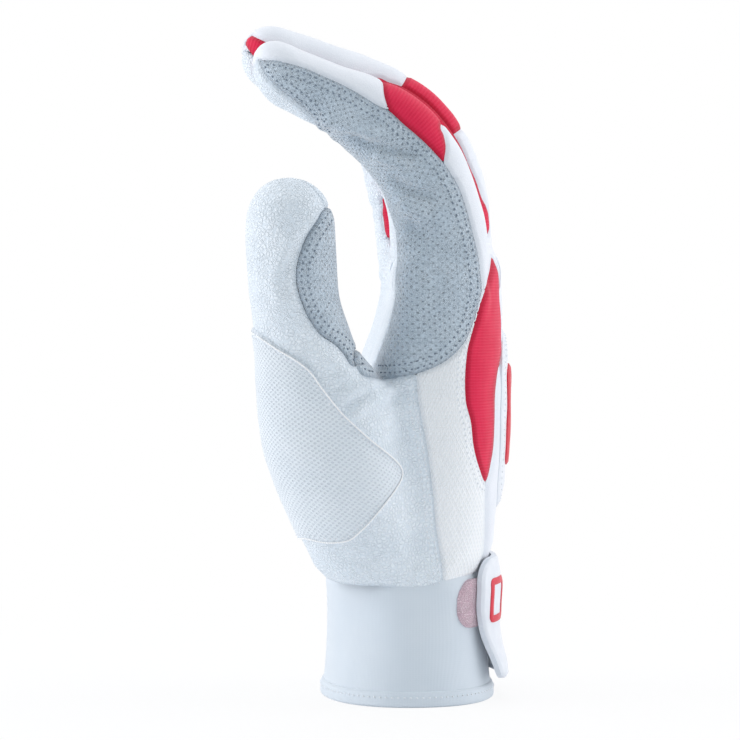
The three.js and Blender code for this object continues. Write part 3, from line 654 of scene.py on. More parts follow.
def cut_out(skin, seams, joins=()):
    """The part of a skin inside all seams and joins. Its value edge is the distance to the nearest seam."""
    edge = np.minimum.reduce(list(seams))
    keep = np.minimum.reduce([edge, *joins])
    keep = np.where(np.abs(keep) < 0.04, 0.04, keep)
    whole = Skin(skin.points, skin.triangles, skin.normals, {**skin.values, "edge": edge, "keep": keep})
    near = (keep[skin.triangles] > 0).any(axis=1)
    part, _ = scored(whole.picked(near), "keep", 0)
    kept = part.values["keep"][part.triangles].sum(axis=1) > TINY
    return part.picked(kept)


def chains(line):
    """Joins point pairs into rows of points."""
    links = {}
    for first, second in line.tolist():
        links.setdefault(first, []).append(second)
        links.setdefault(second, []).append(first)
    ends = [point for point, near in links.items() if len(near) == 1]
    rows, seen = [], set()
    for start in ends + list(links):
        if start in seen:
            continue
        row = [start]
        seen.add(start)
        while True:
            following = [point for point in links[row[-1]] if point not in seen]
            if not following:
                break
            row.append(following[0])
            seen.add(following[0])
        rows.append(row)
    return [row for row in rows if len(row) > 3]


def rounded(outline, steps=6):
    """A smooth closed line through the outline's points."""
    points = np.array(outline, float)
    before, after, beyond = (np.roll(points, shift, axis=0) for shift in (1, -1, -2))
    curve = []
    for share in np.linspace(0, 1, steps, endpoint=False):
        bend = (
            2 * points
            + (after - before) * share
            + (2 * before - 5 * points + 4 * after - beyond) * share ** 2
            + (3 * points - before - 3 * after + beyond) * share ** 3
        )
        curve.append(bend / 2)
    return np.stack(curve, axis=1).reshape(-1, 2)


def line_distance(places, line):
    """Distance of each place to a line of points, and how far along the line its nearest point is, 0 to 1."""
    best = np.full(len(places), np.inf)
    share_along = np.zeros(len(places))
    lengths = np.linalg.norm(np.diff(line, axis=0), axis=1)
    total, run = lengths.sum(), 0.0
    for start, end, length in zip(line[:-1], line[1:], lengths):
        step = end - start
        share = np.clip(((places - start) @ step) / max(length * length, TINY), 0, 1)
        gap = np.linalg.norm(places - start - share[:, None] * step, axis=1)
        nearer = gap < best
        best = np.where(nearer, gap, best)
        share_along = np.where(nearer, (run + share * length) / total, share_along)
        run += length
    return best, share_along


def beside_line(places, line):
    """Distance to the left of a line that runs down the photograph, negative to its right."""
    line = np.array(line, float)
    gap, _ = line_distance(places, line)
    across = np.interp(places[:, 1], line[:, 1], line[:, 0])
    return np.where(places[:, 0] < across, gap, -gap)


def inside_outline(places, outline):
    """Distance inside a closed outline, negative outside it, in the outline's own units."""
    line = rounded(outline)
    closed = np.concatenate([line, line[:1]])
    gap, _ = line_distance(places, closed)
    inside = np.zeros(len(places), bool)
    for (x0, y0), (x1, y1) in zip(closed[:-1], closed[1:]):
        if y0 == y1:
            continue
        crosses = (places[:, 1] > min(y0, y1)) & (places[:, 1] <= max(y0, y1))
        inside ^= crosses & (places[:, 0] < x0 + (places[:, 1] - y0) * (x1 - x0) / (y1 - y0))
    return np.where(inside, gap, -gap)


# Seams as the photograph shows them, in its pixels.
GREY_OUTLINE = [
    (257, 62), (264, 60), (276, 60), (292, 64), (306, 68), (320, 74), (340, 83), (360, 94),
    (376, 104), (390, 111), (404, 124), (426, 143), (444, 162), (452, 174), (460, 188), (468, 212),
    (475, 236), (480, 260), (483, 287), (480, 303), (473, 327), (467, 340), (457, 352), (443, 363),
    (423, 372), (400, 377), (380, 378), (366, 376), (361, 373), (357, 365), (356, 354), (360, 330),
    (352, 220), (338, 180), (322, 152), (314, 124), (303, 110), (288, 97), (276, 87), (264, 75),
]
KNUCKLE_OUTLINE = [
    (383, 60), (384, 84), (385, 96), (390, 111), (404, 140), (444, 176), (445, 160), (447, 146),
    (445, 134), (442, 124), (452, 100), (430, 70),
]
LEAF_OUTLINE = [
    (493, 256), (498, 266), (506, 284), (513, 303), (513, 323), (507, 345), (500, 371), (497, 393),
    (497, 420), (496, 443), (493, 462), (487, 482), (480, 467), (475, 447), (472, 423), (467, 403),
    (466, 380), (468, 353), (472, 337), (477, 320), (482, 303), (487, 288), (491, 272),
]
MESH_LEFT = [
    (412, 330), (415, 365), (418, 398), (422, 420), (427, 445), (431, 475), (434, 500), (436, 525),
    (440, 550), (444, 575), (450, 620), (458, 680),
]
MESH_RIGHT = [
    (484, 290), (484, 360), (484, 440), (487, 482), (487, 505), (486, 540), (484, 580), (480, 640),
    (478, 690),
]
GRIP_OUTLINE = [
    (325, 209), (318, 220), (311, 231), (305, 243), (300, 255), (297, 266), (296, 277), (297, 287),
    (301, 301), (309, 319), (321, 335), (336, 345), (345, 355), (352, 366), (364, 360), (366, 330),
    (356, 260), (348, 220), (338, 205),
]
THUMB_PATCH_OUTLINE = [
    (240, 320), (258, 332), (278, 346), (296, 357), (311, 370), (321, 384), (331, 397), (343, 412),
    (356, 425), (371, 439), (384, 450), (396, 462), (401, 473), (396, 487), (386, 502), (374, 517),
    (361, 531), (349, 540), (328, 542), (308, 538), (280, 534), (250, 480), (232, 400),
]
TIP_GUSSET_OUTLINE = [
    (243, 40), (248, 34), (258, 38), (272, 44), (310, 58), (310, 110), (264, 72), (255, 59),
    (248, 50),
]
PALM_SLIT_OUTLINE = [
    (382, 198), (390, 206), (396, 216), (400, 228), (397, 239), (386, 237), (382, 224), (381, 210),
]
FOURCHETTE_FAR = [(330, 90), (330, 200), (430, 240)]
# Folds: a line in the photograph, its depth in mm (a ridge is negative) and its half width in pixels.
FOLDS = [
    ([(318, 119), (348, 128), (384, 138)], -1.7, 6),
    ([(342, 132), (366, 144), (394, 151), (428, 156)], 2.1, 6),
    ([(372, 153), (388, 160), (412, 168)], -1.7, 6),
    ([(386, 179), (398, 185), (416, 192), (446, 200)], 2.1, 6),
    ([(398, 203), (412, 210), (428, 216)], -1.5, 7),
    ([(406, 225), (418, 231), (432, 236)], 1.3, 7),
    ([(400, 240), (422, 254), (440, 262)], -0.7, 7),
    ([(298, 105), (324, 97)], 0.6, 4),
    ([(338, 398), (378, 381)], -1.3, 5),
    ([(340, 410), (372, 388)], 0.7, 5),
    ([(350, 414), (400, 384)], -1.3, 6),
    ([(376, 418), (412, 386)], 0.6, 6),
    ([(316, 226), (300, 246), (289, 268), (286, 284), (292, 306)], 0.9, 6),
    ([(306, 222), (290, 242), (278, 266), (275, 290), (282, 312)], -0.6, 9),
    ([(306, 350), (330, 361), (354, 374)], -1.1, 7),
    ([(262, 332), (284, 330), (304, 336)], 0.5, 8),
    ([(330, 556), (370, 566), (410, 566)], 0.4, 6),
]
# Where the leather ends on the cuff, by angle round the hand.
CUFF_EDGE_ANGLES = (-180, -135, -90, -45, 0, 60, 100, 140, 180)
CUFF_EDGE_HEIGHTS = (36, 34.4, 33.8, 37.5, 41.5, 41, 39, 37, 36)


def cuff_edge(angle):
    return np.interp(angle, CUFF_EDGE_ANGLES, CUFF_EDGE_HEIGHTS)


def fold_relief(places, facing):
    """The photograph's folds, on the skin that faces its camera."""
    relief = np.zeros(len(places))
    for line, depth, half_width in FOLDS:
        gap, share = line_distance(places, np.array(line, float))
        fade = ease(share, -0.02, 0.2) * ease(1 - share, -0.02, 0.2)
        relief -= depth * fade * np.exp(-((gap / half_width) ** 2))
    return relief * ease(facing, 0.02, 0.25)


def crease_relief(finger, along, around):
    """Creases across the palm side of a finger's joints."""
    palm = ease(np.abs(around), 100, 150)
    relief = np.zeros(len(along))
    for joint in (ROOT_CREASE, finger.knuckle, mix(finger.knuckle, finger.length, 0.45)):
        for offset, depth in ((-5, 0.3), (0, 0.7), (5.5, 0.35)):
            relief -= depth * np.exp(-(((along - joint - offset) / 1.8) ** 2))
    return relief * palm


def uneven_relief(points):
    """A gentle unevenness, as soft leather has."""
    places = (points / UNEVEN_SIZE).tolist()
    return np.array([UNEVEN_HEIGHT * noise.noise(Vector(place)) for place in places])


MATERIALS = {}


class NodeTree:
    """Short ways to add and join shader nodes."""

    def __init__(self, tree):
        self.tree = tree

    def feed(self, socket, value):
        if isinstance(value, bpy.types.NodeSocket):
            self.tree.links.new(value, socket)
        else:
            socket.default_value = value

    def add(self, kind, inputs=None, **settings):
        node = self.tree.nodes.new("ShaderNode" + kind)
        for name, value in settings.items():
            setattr(node, name, value)
        for name, value in (inputs or {}).items():
            self.feed(node.inputs[name], value)
        return node

    def math(self, operation, *values):
        node = self.add("Math", operation=operation)
        for socket, value in zip(node.inputs, values):
            self.feed(socket, value)
        return node.outputs[0]

    def ramp(self, value, start, end):
        """0 below start, 1 above end, smooth between."""
        limits = {"Value": value, "From Min": start, "From Max": end}
        return self.add("MapRange", limits, interpolation_type="SMOOTHSTEP").outputs[0]

    def mixed(self, share, first, second):
        node = self.add("Mix", data_type="RGBA")
        self.feed(node.inputs[0], share)
        self.feed(node.inputs[6], first)
        self.feed(node.inputs[7], second)
        return node.outputs[2]


class NodeGroup(NodeTree):
    """A shader effect that several materials share."""

    def __init__(self, name, inputs, outputs):
        super().__init__(bpy.data.node_groups.new(name, "ShaderNodeTree"))
        for label, value in inputs.items():
            socket = self.tree.interface.new_socket(label, in_out="INPUT", socket_type="NodeSocketFloat")
            socket.default_value = value
        for label in outputs:
            self.tree.interface.new_socket(label, in_out="OUTPUT", socket_type="NodeSocketFloat")
        self.inputs = self.tree.nodes.new("NodeGroupInput").outputs
        self.outputs = self.tree.nodes.new("NodeGroupOutput").inputs

    def put_out(self, **values):
        for label, value in values.items():
            self.feed(self.outputs[label], value)
        return self.tree

    def pattern(self):
        """The panel's own flat coordinates in millimetres: along it and across it."""
        place = self.add("UVMap", uv_map="pattern").outputs[0]
        split = self.add("SeparateXYZ", {0: place})
        return split.outputs[0], split.outputs[1]


def pebble_group():
    group = NodeGroup("leather pebble", {"Pebble Size": 1.2}, ["Height", "Crease"])
    place = group.add("TexCoord").outputs["Object"]
    scale = group.math("DIVIDE", 1 / MM, group.inputs["Pebble Size"])
    wander = group.add("TexNoise", {"Vector": place, "Scale": 420.0, "Detail": 2.0}).outputs["Color"]
    shift = group.add("VectorMath", {0: wander, "Scale": 0.0011}, operation="SCALE").outputs[0]
    moved = group.add("VectorMath", {0: place, 1: shift}, operation="ADD").outputs[0]
    cells = group.add("TexVoronoi", {"Vector": moved, "Scale": scale}, feature="DISTANCE_TO_EDGE").outputs[0]
    # Crease is 1 in the grain's creases, where finishes paint shade.
    crease = group.ramp(cells, 0.16, 0.0)
    fine = group.add("TexNoise", {"Vector": place, "Scale": 2600.0, "Detail": 3.0}).outputs[0]
    height = group.math("ADD", group.ramp(cells, 0.0, 0.32), group.math("MULTIPLY", fine, 0.3))
    return group.put_out(Height=height, Crease=crease)


def dots_group():
    group = NodeGroup("rows of dots", {"Spacing": 2.1, "Dot Size": 0.6}, ["Dot"])
    along, across = group.pattern()
    spacing = group.inputs["Spacing"]
    row = group.math("DIVIDE", across, group.math("MULTIPLY", spacing, 0.5))
    odd = group.math("FLOORED_MODULO", group.math("FLOOR", row), 2.0)
    column = group.math("ADD", group.math("DIVIDE", along, spacing), group.math("MULTIPLY", odd, 0.5))
    x = group.math("MULTIPLY", group.math("SUBTRACT", group.math("FRACT", column), 0.5), spacing)
    y = group.math("SUBTRACT", group.math("FRACT", row), 0.5)
    y = group.math("MULTIPLY", y, group.math("MULTIPLY", spacing, 0.5))
    reach = group.math("SQRT", group.math("ADD", group.math("MULTIPLY", x, x), group.math("MULTIPLY", y, y)))
    radius = group.math("MULTIPLY", group.inputs["Dot Size"], 0.5)
    return group.put_out(Dot=group.ramp(reach, radius, group.math("MULTIPLY", radius, 0.45)))


def ribs_group():
    group = NodeGroup("stretch ribs", {"Pitch": 0.85}, ["Height"])
    along, across = group.pattern()
    turn = group.math("MULTIPLY", group.math("DIVIDE", along, group.inputs["Pitch"]), 2 * math.pi)
    rib = group.math("MULTIPLY_ADD", group.math("SINE", turn), 0.5, 0.5)
    loop = group.math("SINE", group.math("MULTIPLY", across, 2 * math.pi / 0.6))
    height = group.math("MULTIPLY_ADD", loop, 0.12, rib)
    return group.put_out(Height=height)


def net_group():
    group = NodeGroup("diamond net", {"Length": 3.1, "Width": 2.3}, ["Height", "Hole"])
    along, across = group.pattern()
    u = group.math("DIVIDE", along, group.inputs["Length"])
    v = group.math("DIVIDE", across, group.inputs["Width"])
    gaps = []
    for operation in ("ADD", "SUBTRACT"):
        share = group.math("FRACT", group.math(operation, u, v))
        gaps.append(group.math("ABSOLUTE", group.math("SUBTRACT", share, 0.5)))
    nearest = group.math("MAXIMUM", *gaps)
    height = group.ramp(nearest, 0.28, 0.46)
    # Hole is 1 in the net's openings, where the mesh finish paints shade.
    hole = group.ramp(nearest, 0.24, 0.12)
    return group.put_out(Height=height, Hole=hole)


def seam_group():
    group = NodeGroup("seam shade", {"Reach": 1.6}, ["Shade"])
    # Painted shade along the seams: 1 at a seam, fading to 0 at the reach.
    edge = group.add("Attribute", attribute_name="edge").outputs["Fac"]
    return group.put_out(Shade=group.ramp(edge, group.inputs["Reach"], 0.1))


def mottle_group():
    group = NodeGroup("soft mottling", {"Patch Size": 9.0}, ["Patch"])
    place = group.add("TexCoord").outputs["Object"]
    scale = group.math("DIVIDE", 1 / MM, group.inputs["Patch Size"])
    patch = group.add("TexNoise", {"Vector": place, "Scale": scale, "Detail": 3.0}).outputs[0]
    return group.put_out(Patch=group.ramp(patch, 0.3, 0.7))


EFFECTS = {
    "pebble": pebble_group(),
    "dots": dots_group(),
    "ribs": ribs_group(),
    "net": net_group(),
    "seam": seam_group(),
    "mottle": mottle_group(),
}


def colour(red, green, blue):
    """A colour given as it looks on screen, 0 to 255, in the linear values that a shader takes."""
    shares = [value / 255 for value in (red, green, blue)]
    linear = [share / 12.92 if share <= 0.04045 else ((share + 0.055) / 1.055) ** 2.4 for share in shares]
    return (*linear, 1.0)


class Finish(NodeTree):
    """A material: base colour, roughness and bump, from the shared effects."""

    def __init__(self, name, roughness, **shader):
        self.material = bpy.data.materials.new(name)
        self.material.use_nodes = True
        super().__init__(self.material.node_tree)
        self.shader = self.tree.nodes["Principled BSDF"]
        self.shader.inputs["Roughness"].default_value = roughness
        for label, value in shader.items():
            self.shader.inputs[label.replace("_", " ")].default_value = value
        MATERIALS[name] = self.material

    def effect(self, name, **values):
        node = self.tree.nodes.new("ShaderNodeGroup")
        node.node_tree = EFFECTS[name]
        for label, value in values.items():
            node.inputs[label.replace("_", " ")].default_value = value
        return node.outputs

    def patch(self, size):
        return self.effect("mottle", Patch_Size=size)["Patch"]

    # The mask of painted shade along the panel's seams.
    def seam(self, reach):
        return self.effect("seam", Reach=reach)["Shade"]

    def paint(self, base, *layers):
        """Lays colours over a base: each layer's mask, its share and its colour."""
        for mask, share, tint in layers:
            base = self.mixed(self.math("MULTIPLY", mask, share), base, tint)
        self.feed(self.shader.inputs["Base Color"], base)

    def dull(self, mask, low, high):
        limits = {"Value": mask, "To Min": low, "To Max": high}
        self.feed(self.shader.inputs["Roughness"], self.add("MapRange", limits).outputs[0])

    def emboss(self, *layers):
        """Bumps one over another: height, its depth in millimetres and its strength."""
        normal = None
        for height, depth, strength in layers:
            inputs = {"Height": height, "Distance": depth * MM, "Strength": strength}
            if normal is not None:
                inputs["Normal"] = normal
            normal = self.add("Bump", inputs).outputs[0]
        self.feed(self.shader.inputs["Normal"], normal)


def leather_finish(name, base, shadow, seam_shade_tint, pebble_size, depth):
    finish = Finish(name, 0.5, Specular_IOR_Level=0.4, Sheen_Weight=0.1, Sheen_Roughness=0.4)
    pebble = finish.effect("pebble", Pebble_Size=pebble_size)
    crease = pebble["Crease"]
    # Painted shade: the shadow colour in the grain's creases and the seam shade tint along the seams; the
    # patches are the leather's own uneven tone.
    finish.paint(base, (finish.patch(11.0), 0.25, shadow), (crease, 0.4, shadow),
                 (finish.seam(1.5), 0.5, seam_shade_tint))
    finish.dull(crease, 0.46, 0.62)
    finish.emboss((pebble["Height"], depth, 0.8))


def perforated_finish():
    finish = Finish("grey_perforated_leather", 0.62, Specular_IOR_Level=0.3, Sheen_Weight=0.9,
                    Sheen_Roughness=0.4)
    # The perforations are the leather's pattern; the dark hole colour painted in them is painted shade,
    # deeper in some patches than in others, and the same colour is painted shade along the seams. The shadow
    # colour is painted shade in the grain's creases and the leather's own tone in its patches.
    shadow, hole = colour(184, 199, 212), colour(104, 120, 138)
    pebble = finish.effect("pebble", Pebble_Size=0.9)
    dot = finish.effect("dots", Spacing=2.1, Dot_Size=0.7)["Dot"]
    patch = finish.patch(8.0)
    hole_shade_share = finish.math("MULTIPLY_ADD", finish.patch(17.0), 0.45, 0.2)
    finish.paint(colour(201, 214, 225), (patch, 0.6, shadow), (pebble["Crease"], 0.3, shadow),
                 (finish.seam(1.4), 0.4, hole), (dot, hole_shade_share, hole))
    finish.dull(patch, 0.56, 0.7)
    pit = finish.math("SUBTRACT", 1.0, dot)
    finish.emboss((pebble["Height"], 0.3, 0.9), (pit, 0.3, 0.6))


def dimpled_finish():
    finish = Finish("dimpled_white", 0.5, Specular_IOR_Level=0.35)
    dot = finish.effect("dots", Spacing=1.35, Dot_Size=0.66)["Dot"]
    # Painted shade in the dimples and along the seams; the patches are the plate's own uneven tone.
    finish.paint(colour(228, 235, 241), (finish.patch(12.0), 0.3, colour(214, 224, 232)),
                 (dot, 0.3, colour(194, 205, 217)), (finish.seam(1.2), 0.35, colour(214, 221, 229)))
    finish.dull(dot, 0.46, 0.6)
    finish.emboss((finish.math("SUBTRACT", 1.0, dot), 0.3, 0.85))


def stretch_finish():
    finish = Finish("red_stretch_knit", 0.72, Specular_IOR_Level=0.2, Sheen_Weight=0.15)
    rib = finish.effect("ribs", Pitch=0.85)["Height"]
    # Painted highlight on the crests of the ribs and painted shade along the seams; the patches are the
    # knit's own uneven tone.
    finish.paint(colour(222, 32, 74), (finish.patch(6.0), 0.4, colour(206, 22, 60)),
                 (rib, 0.25, colour(236, 58, 96)), (finish.seam(1.8), 0.6, colour(168, 14, 40)))
    finish.dull(rib, 0.78, 0.66)
    finish.emboss((rib, 0.16, 0.5))


def net_finish():
    finish = Finish("white_diamond_mesh", 0.6, Specular_IOR_Level=0.3)
    net = finish.effect("net", Length=2.4, Width=1.6)
    # Painted shade in the net's openings and along the seams; the patches are the mesh's own uneven tone.
    finish.paint(colour(251, 253, 255), (finish.patch(10.0), 0.15, colour(240, 244, 249)),
                 (net["Hole"], 0.28, colour(206, 216, 227)), (finish.seam(1.4), 0.35, colour(212, 219, 227)))
    finish.dull(net["Hole"], 0.55, 0.75)
    finish.emboss((net["Height"], 0.3, 0.75))


def knit_finish():
    finish = Finish("cuff_stretch_knit", 0.68, Specular_IOR_Level=0.25, Sheen_Weight=0.4)
    rib = finish.effect("ribs", Pitch=0.5)["Height"]
    # Painted highlight on the crests of the ribs; the patches are the knit's own uneven tone.
    finish.paint(colour(212, 221, 229), (finish.patch(14.0), 0.4, colour(202, 213, 223)),
                 (rib, 0.12, colour(246, 249, 252)))
    finish.dull(rib, 0.74, 0.62)
    finish.emboss((rib, 0.06, 0.35))


def rubber_finish(name, base, shadow):
    finish = Finish(name, 0.42, Specular_IOR_Level=0.4, Coat_Weight=0.08)
    patch = finish.patch(3.0)
    pebble = finish.effect("pebble", Pebble_Size=0.45)
    finish.paint(base, (patch, 0.35, shadow), (finish.seam(0.6), 0.3, shadow))
    finish.dull(patch, 0.38, 0.5)
    finish.emboss((pebble["Height"], 0.04, 0.4))


def tape_finish():
    finish = Finish("loop_tape", 0.9, Specular_IOR_Level=0.1, Sheen_Weight=0.4)
    pebble = finish.effect("pebble", Pebble_Size=0.6)
    patch = finish.patch(1.6)
    # Painted shade in the creases of the tape's pile; the lighter patches are its own uneven tone.
    finish.paint(colour(226, 196, 208), (patch, 0.7, colour(238, 216, 224)),
                 (pebble["Crease"], 0.6, colour(196, 156, 172)))
    finish.dull(patch, 0.85, 0.95)
    finish.emboss((pebble["Height"], 0.4, 0.8))


def thread_finish(name, base, shadow):
    finish = Finish(name, 0.6, Sheen_Weight=0.1)
    pebble = finish.effect("pebble", Pebble_Size=0.3)
    finish.paint(base, (finish.patch(2.0), 0.5, shadow), (pebble["Crease"], 0.4, shadow))
    finish.emboss((pebble["Height"], 0.05, 0.5))


def make_finishes():
    # Each leather: base colour, shadow colour (painted shade in the grain's creases, and the tone of its
    # patches) and the colour of the painted shade along its seams.
    leather_finish("white_leather", colour(237, 244, 250), colour(204, 218, 230), colour(196, 208, 219),
                   pebble_size=1.1, depth=0.3)
    leather_finish("smooth_white_leather", colour(237, 240, 246), colour(222, 228, 236),
                   colour(214, 221, 230), pebble_size=0.6, depth=0.06)
    perforated_finish()
    dimpled_finish()
    stretch_finish()
    net_finish()
    knit_finish()
    rubber_finish("white_rubber", colour(230, 234, 240), colour(216, 222, 231))
    rubber_finish("red_rubber", colour(218, 30, 60), colour(196, 18, 46))
    tape_finish()
    thread_finish("white_thread", colour(240, 243, 247), colour(216, 223, 231))
    thread_finish("white_cord", colour(255, 255, 255), colour(248, 250, 253))
    thread_finish("grey_thread", colour(126, 139, 154), colour(104, 118, 134))


def in_frame(points):
    return (points + HAND_PLACE) * MM


class Mover:
    """Which body a piece is attached to; a piece on the bend between two bodies is named for both and only
    left in place.
    """

    def __init__(self, first, second=None, start=None, end=None):
        self.bodies = (first, second)
        self.start = None if start is None else in_frame(start)
        self.end = None if end is None else in_frame(end)
        self.name = first if second is None else f"{first}_to_{second}"

    def carry(self, piece):
        if self.start is None:
            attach(piece, self.bodies[0])
        else:
            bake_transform(piece)


def add_mesh(name, points, faces, finish, mover, flat=None, edge=None):
    """A finished piece of the glove."""
    mesh = bpy.data.meshes.new(name)
    mesh.from_pydata(in_frame(points).tolist(), [], faces.tolist())
    mesh.polygons.foreach_set("use_smooth", np.ones(len(mesh.polygons), bool))
    mesh.set_sharp_from_angle(angle=math.radians(SHARP_ANGLE))
    corners = np.empty(len(mesh.loops), np.int32)
    mesh.loops.foreach_get("vertex_index", corners)
    flat = points[:, :2] if flat is None else flat
    mesh.uv_layers.new(name="pattern").data.foreach_set("uv", flat[corners].ravel())
    edge = np.full(len(points), FAR_INSIDE) if edge is None else edge
    mesh.attributes.new("edge", "FLOAT", "POINT").data.foreach_set("value", edge.astype(np.float32))
    mesh.materials.append(MATERIALS[finish])
    mesh.update()
    piece = bpy.data.objects.new(name, mesh)
    bpy.context.scene.collection.objects.link(piece)
    mover.carry(piece)
    return piece


def grid_triangles(rows, columns):
    place = np.arange(rows * columns).reshape(rows, columns)
    first, second = place[:-1, :-1].ravel(), place[1:, :-1].ravel()
    third, fourth = place[1:, 1:].ravel(), place[:-1, 1:].ravel()
    return np.concatenate([np.stack([first, second, third], 1), np.stack([first, third, fourth], 1)])


def closed_sheet(skin, thickness):
    """The faces and points of a skin made into a closed sheet."""
    count = len(skin.points)
    points = np.concatenate([skin.points, skin.points - skin.normals * thickness])
    edges = triangle_edges(skin.triangles)
    keys = edges[:, 0] * count + edges[:, 1]
    rim = edges[~np.isin(keys, edges[:, 1] * count + edges[:, 0])]
    walls = np.concatenate([
        np.stack([rim[:, 1], rim[:, 0], rim[:, 0] + count], 1),
        np.stack([rim[:, 1], rim[:, 0] + count, rim[:, 1] + count], 1),
    ])
    return points, np.concatenate([skin.triangles, skin.triangles[:, ::-1] + count, walls])


STITCHES = {}


def sew(skin, line, mover, thread, pitch=STITCH_PITCH, length=STITCH_LENGTH):
    """Keeps a row of stitches along a line of a skin, to be made when all panels are there."""
    if "sewn" in skin.values:
        line = line[(skin.values["sewn"][line] > 0).all(axis=1)]
    for row in chains(line):
        places, normals = skin.points[row], skin.normals[row]
        run = np.concatenate([[0], np.cumsum(np.linalg.norm(np.diff(places, axis=0), axis=1))])
        for start in np.arange(pitch / 2, run[-1] - length, pitch):
            at = np.linspace(start, start + length, 4)
            path = np.stack([np.interp(at, run, places[:, k]) for k in range(3)], axis=1)
            out = unit(np.stack([np.interp(at, run, normals[:, k]) for k in range(3)], axis=1))
            STITCHES.setdefault((mover, thread), []).append((path, out))


def lapped(joins, others):
    """Joins let under the next piece where they come to a corner, and how deep the piece dips there."""
    near = ease(np.minimum.reduce(others), LAP_REACH, LAP_REACH / 2)
    dip = LAP_DIP * near * ease(np.minimum.reduce(joins), LAP, 0)
    return [join + LAP * near for join in joins], dip


def edge_profile(edge, raised, tuck, ridge):
    """How far a panel stands off its form, by the distance to its seam."""
    profile = raised - tuck * (1 - ease(edge, -0.2, TUCK_REACH)) + PUFF * ease(edge, 0.6, PUFF_REACH)
    return profile + ridge * np.clip(1 - np.abs(edge - RIDGE_AT) / (TUCK_REACH - RIDGE_AT), 0, 1)


def panel(name, form, seams, finish, mover, flat, joins=(), laps=(), raised=0.0, thickness=LEATHER, tuck=TUCK,
          rows=(), thread="white_thread", replaces=(), sink=0.0, sewn=None, ridge=0.0, corded=False):
    """One sewn panel cut from a form: its edges tuck in at the seams, and its stitch rows are kept."""
    carried = {f"row {k}": distance for k, (distance, _) in enumerate(rows)}
    carried["sink"] = np.zeros(len(form.points)) + sink
    if laps:
        under, dip = lapped(laps, [*seams, *joins])
        joins = [*joins, *under]
        carried["sink"] = carried["sink"] + dip
    if sewn is not None:
        carried["sewn"] = sewn
    sheet = Skin(form.points, form.triangles, form.normals, {**form.values, **carried})
    skin = cut_out(sheet, seams, joins)
    if not len(skin.triangles):
        raise ValueError(f"panel {name} is empty")
    skin, cord = scored(skin, "edge", RIDGE_AT)
    skin, _ = scored(skin, "edge", TUCK_REACH)
    lines = []
    for k, (_, level) in enumerate(rows):
        skin, line = scored(skin, f"row {k}", level)
        lines.append(line)
    edge = skin.values["edge"]
    height = edge_profile(edge, raised, tuck, ridge) - skin.values["sink"] + skin.values.get("relief", 0)
    spread = flat(skin.points)
    skin.points = skin.points + skin.normals * height[:, None]
    for line in lines:
        sew(skin, line, mover, thread)
    if corded:
        skin.points = skin.points + skin.normals * CORD_LIFT
        sew(skin, cord, mover, "white_cord", CORD_PITCH, CORD_LENGTH)
        skin.points = skin.points - skin.normals * CORD_LIFT
    points, faces = closed_sheet(skin, thickness + raised)
    piece = add_mesh(name, points, faces, finish, mover, np.tile(spread, (2, 1)), np.tile(edge, 2))
    if replaces:
        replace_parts(piece, *replaces)
    return piece


def thread_faces():
    """The triangles of one thread: its wall and its two ends."""
    faces = []
    steps = len(STITCH_LIFTS) - 1
    for step in range(steps):
        for k in range(THREAD_SIDES):
            first = step * THREAD_SIDES + k
            second = step * THREAD_SIDES + (k + 1) % THREAD_SIDES
            faces.append((first, second, second + THREAD_SIDES))
            faces.append((first, second + THREAD_SIDES, first + THREAD_SIDES))
    last = steps * THREAD_SIDES
    for k in range(1, THREAD_SIDES - 1):
        faces.append((0, k + 1, k))
        faces.append((last, last + k, last + k + 1))
    return np.array(faces)


def thread_tubes(rows):
    """The points and faces of many short threads, each arched over the leather between two holes."""
    sides = np.radians(np.arange(0, 360, 360 / THREAD_SIDES))
    radius = THREAD_RADIUS * STITCH_WIDTHS[:, None]
    points = []
    for path, out in rows:
        along = unit(np.gradient(path, axis=0))
        across = np.cross(along, out)
        middle = path + out * STITCH_LIFTS[:, None]
        ring = [middle + radius * (math.cos(side) * out + math.sin(side) * across) for side in sides]
        points.append(np.stack(ring, axis=1).reshape(-1, 3))
    starts = np.arange(len(rows)) * len(points[0])
    return np.concatenate(points), (starts[:, None, None] + thread_faces()).reshape(-1, 3)


def add_stitches():
    for (mover, thread), rows in STITCHES.items():
        points, faces = thread_tubes(rows)
        add_mesh(f"{thread}_{mover.name}", points, faces[:, ::-1], thread, mover)


fingers = make_fingers()
make_finishes()
index = fingers["index"]
ON_HAND = Mover("hand")
ON_TAB = Mover("closure_tab")
THUMB_MOVER = Mover("hand", "thumb", *(
    np.array([thumb_size(rise, "x"), thumb_size(rise, "y"), CUFF_HEIGHT + rise]) for rise in THUMB_BEND
))
ROOT_MOVERS = {
    name: Mover("hand", f"{name}_lower", *(finger.point(at, 0, 0) for at in finger.size["root_bend"]))
    for name, finger in fingers.items()
}
TIP_MOVERS = {
    name: Mover(f"{name}_lower", f"{name}_tip",
                finger.point(max(finger.knuckle - KNUCKLE_BEND, finger.split), 0, 0),
                finger.point(finger.knuckle + KNUCKLE_BEND, 0, 0))
    for name, finger in fingers.items()
}


def in_degrees(degrees, radius):
    """The length of an arc."""
    return np.radians(degrees) * radius


def finger_flat(finger, middle):
    def flat(points):
        along, _, around = finger.locate(points)
        return np.stack([along, in_degrees(turned(around, middle), finger.half_width + FINGER_SKIN)], axis=1)

    return flat


def hand_flat(middle):
    def flat(points):
        up = np.clip((points[:, 2] - CUFF_HEIGHT) / KNUCKLE_RISE, 0, 1)
        radius = mix(WRIST_RADIUS, HAND_RADIUS, up)
        return np.stack([points[:, 2], in_degrees(turned(hand_angle(points), middle), radius)], axis=1)

    return flat


def thumb_flat(middle):
    def flat(points):
        _, around = thumb_place(points)
        return np.stack([points[:, 2], in_degrees(turned(around, middle), THUMB_RADIUS)], axis=1)

    return flat


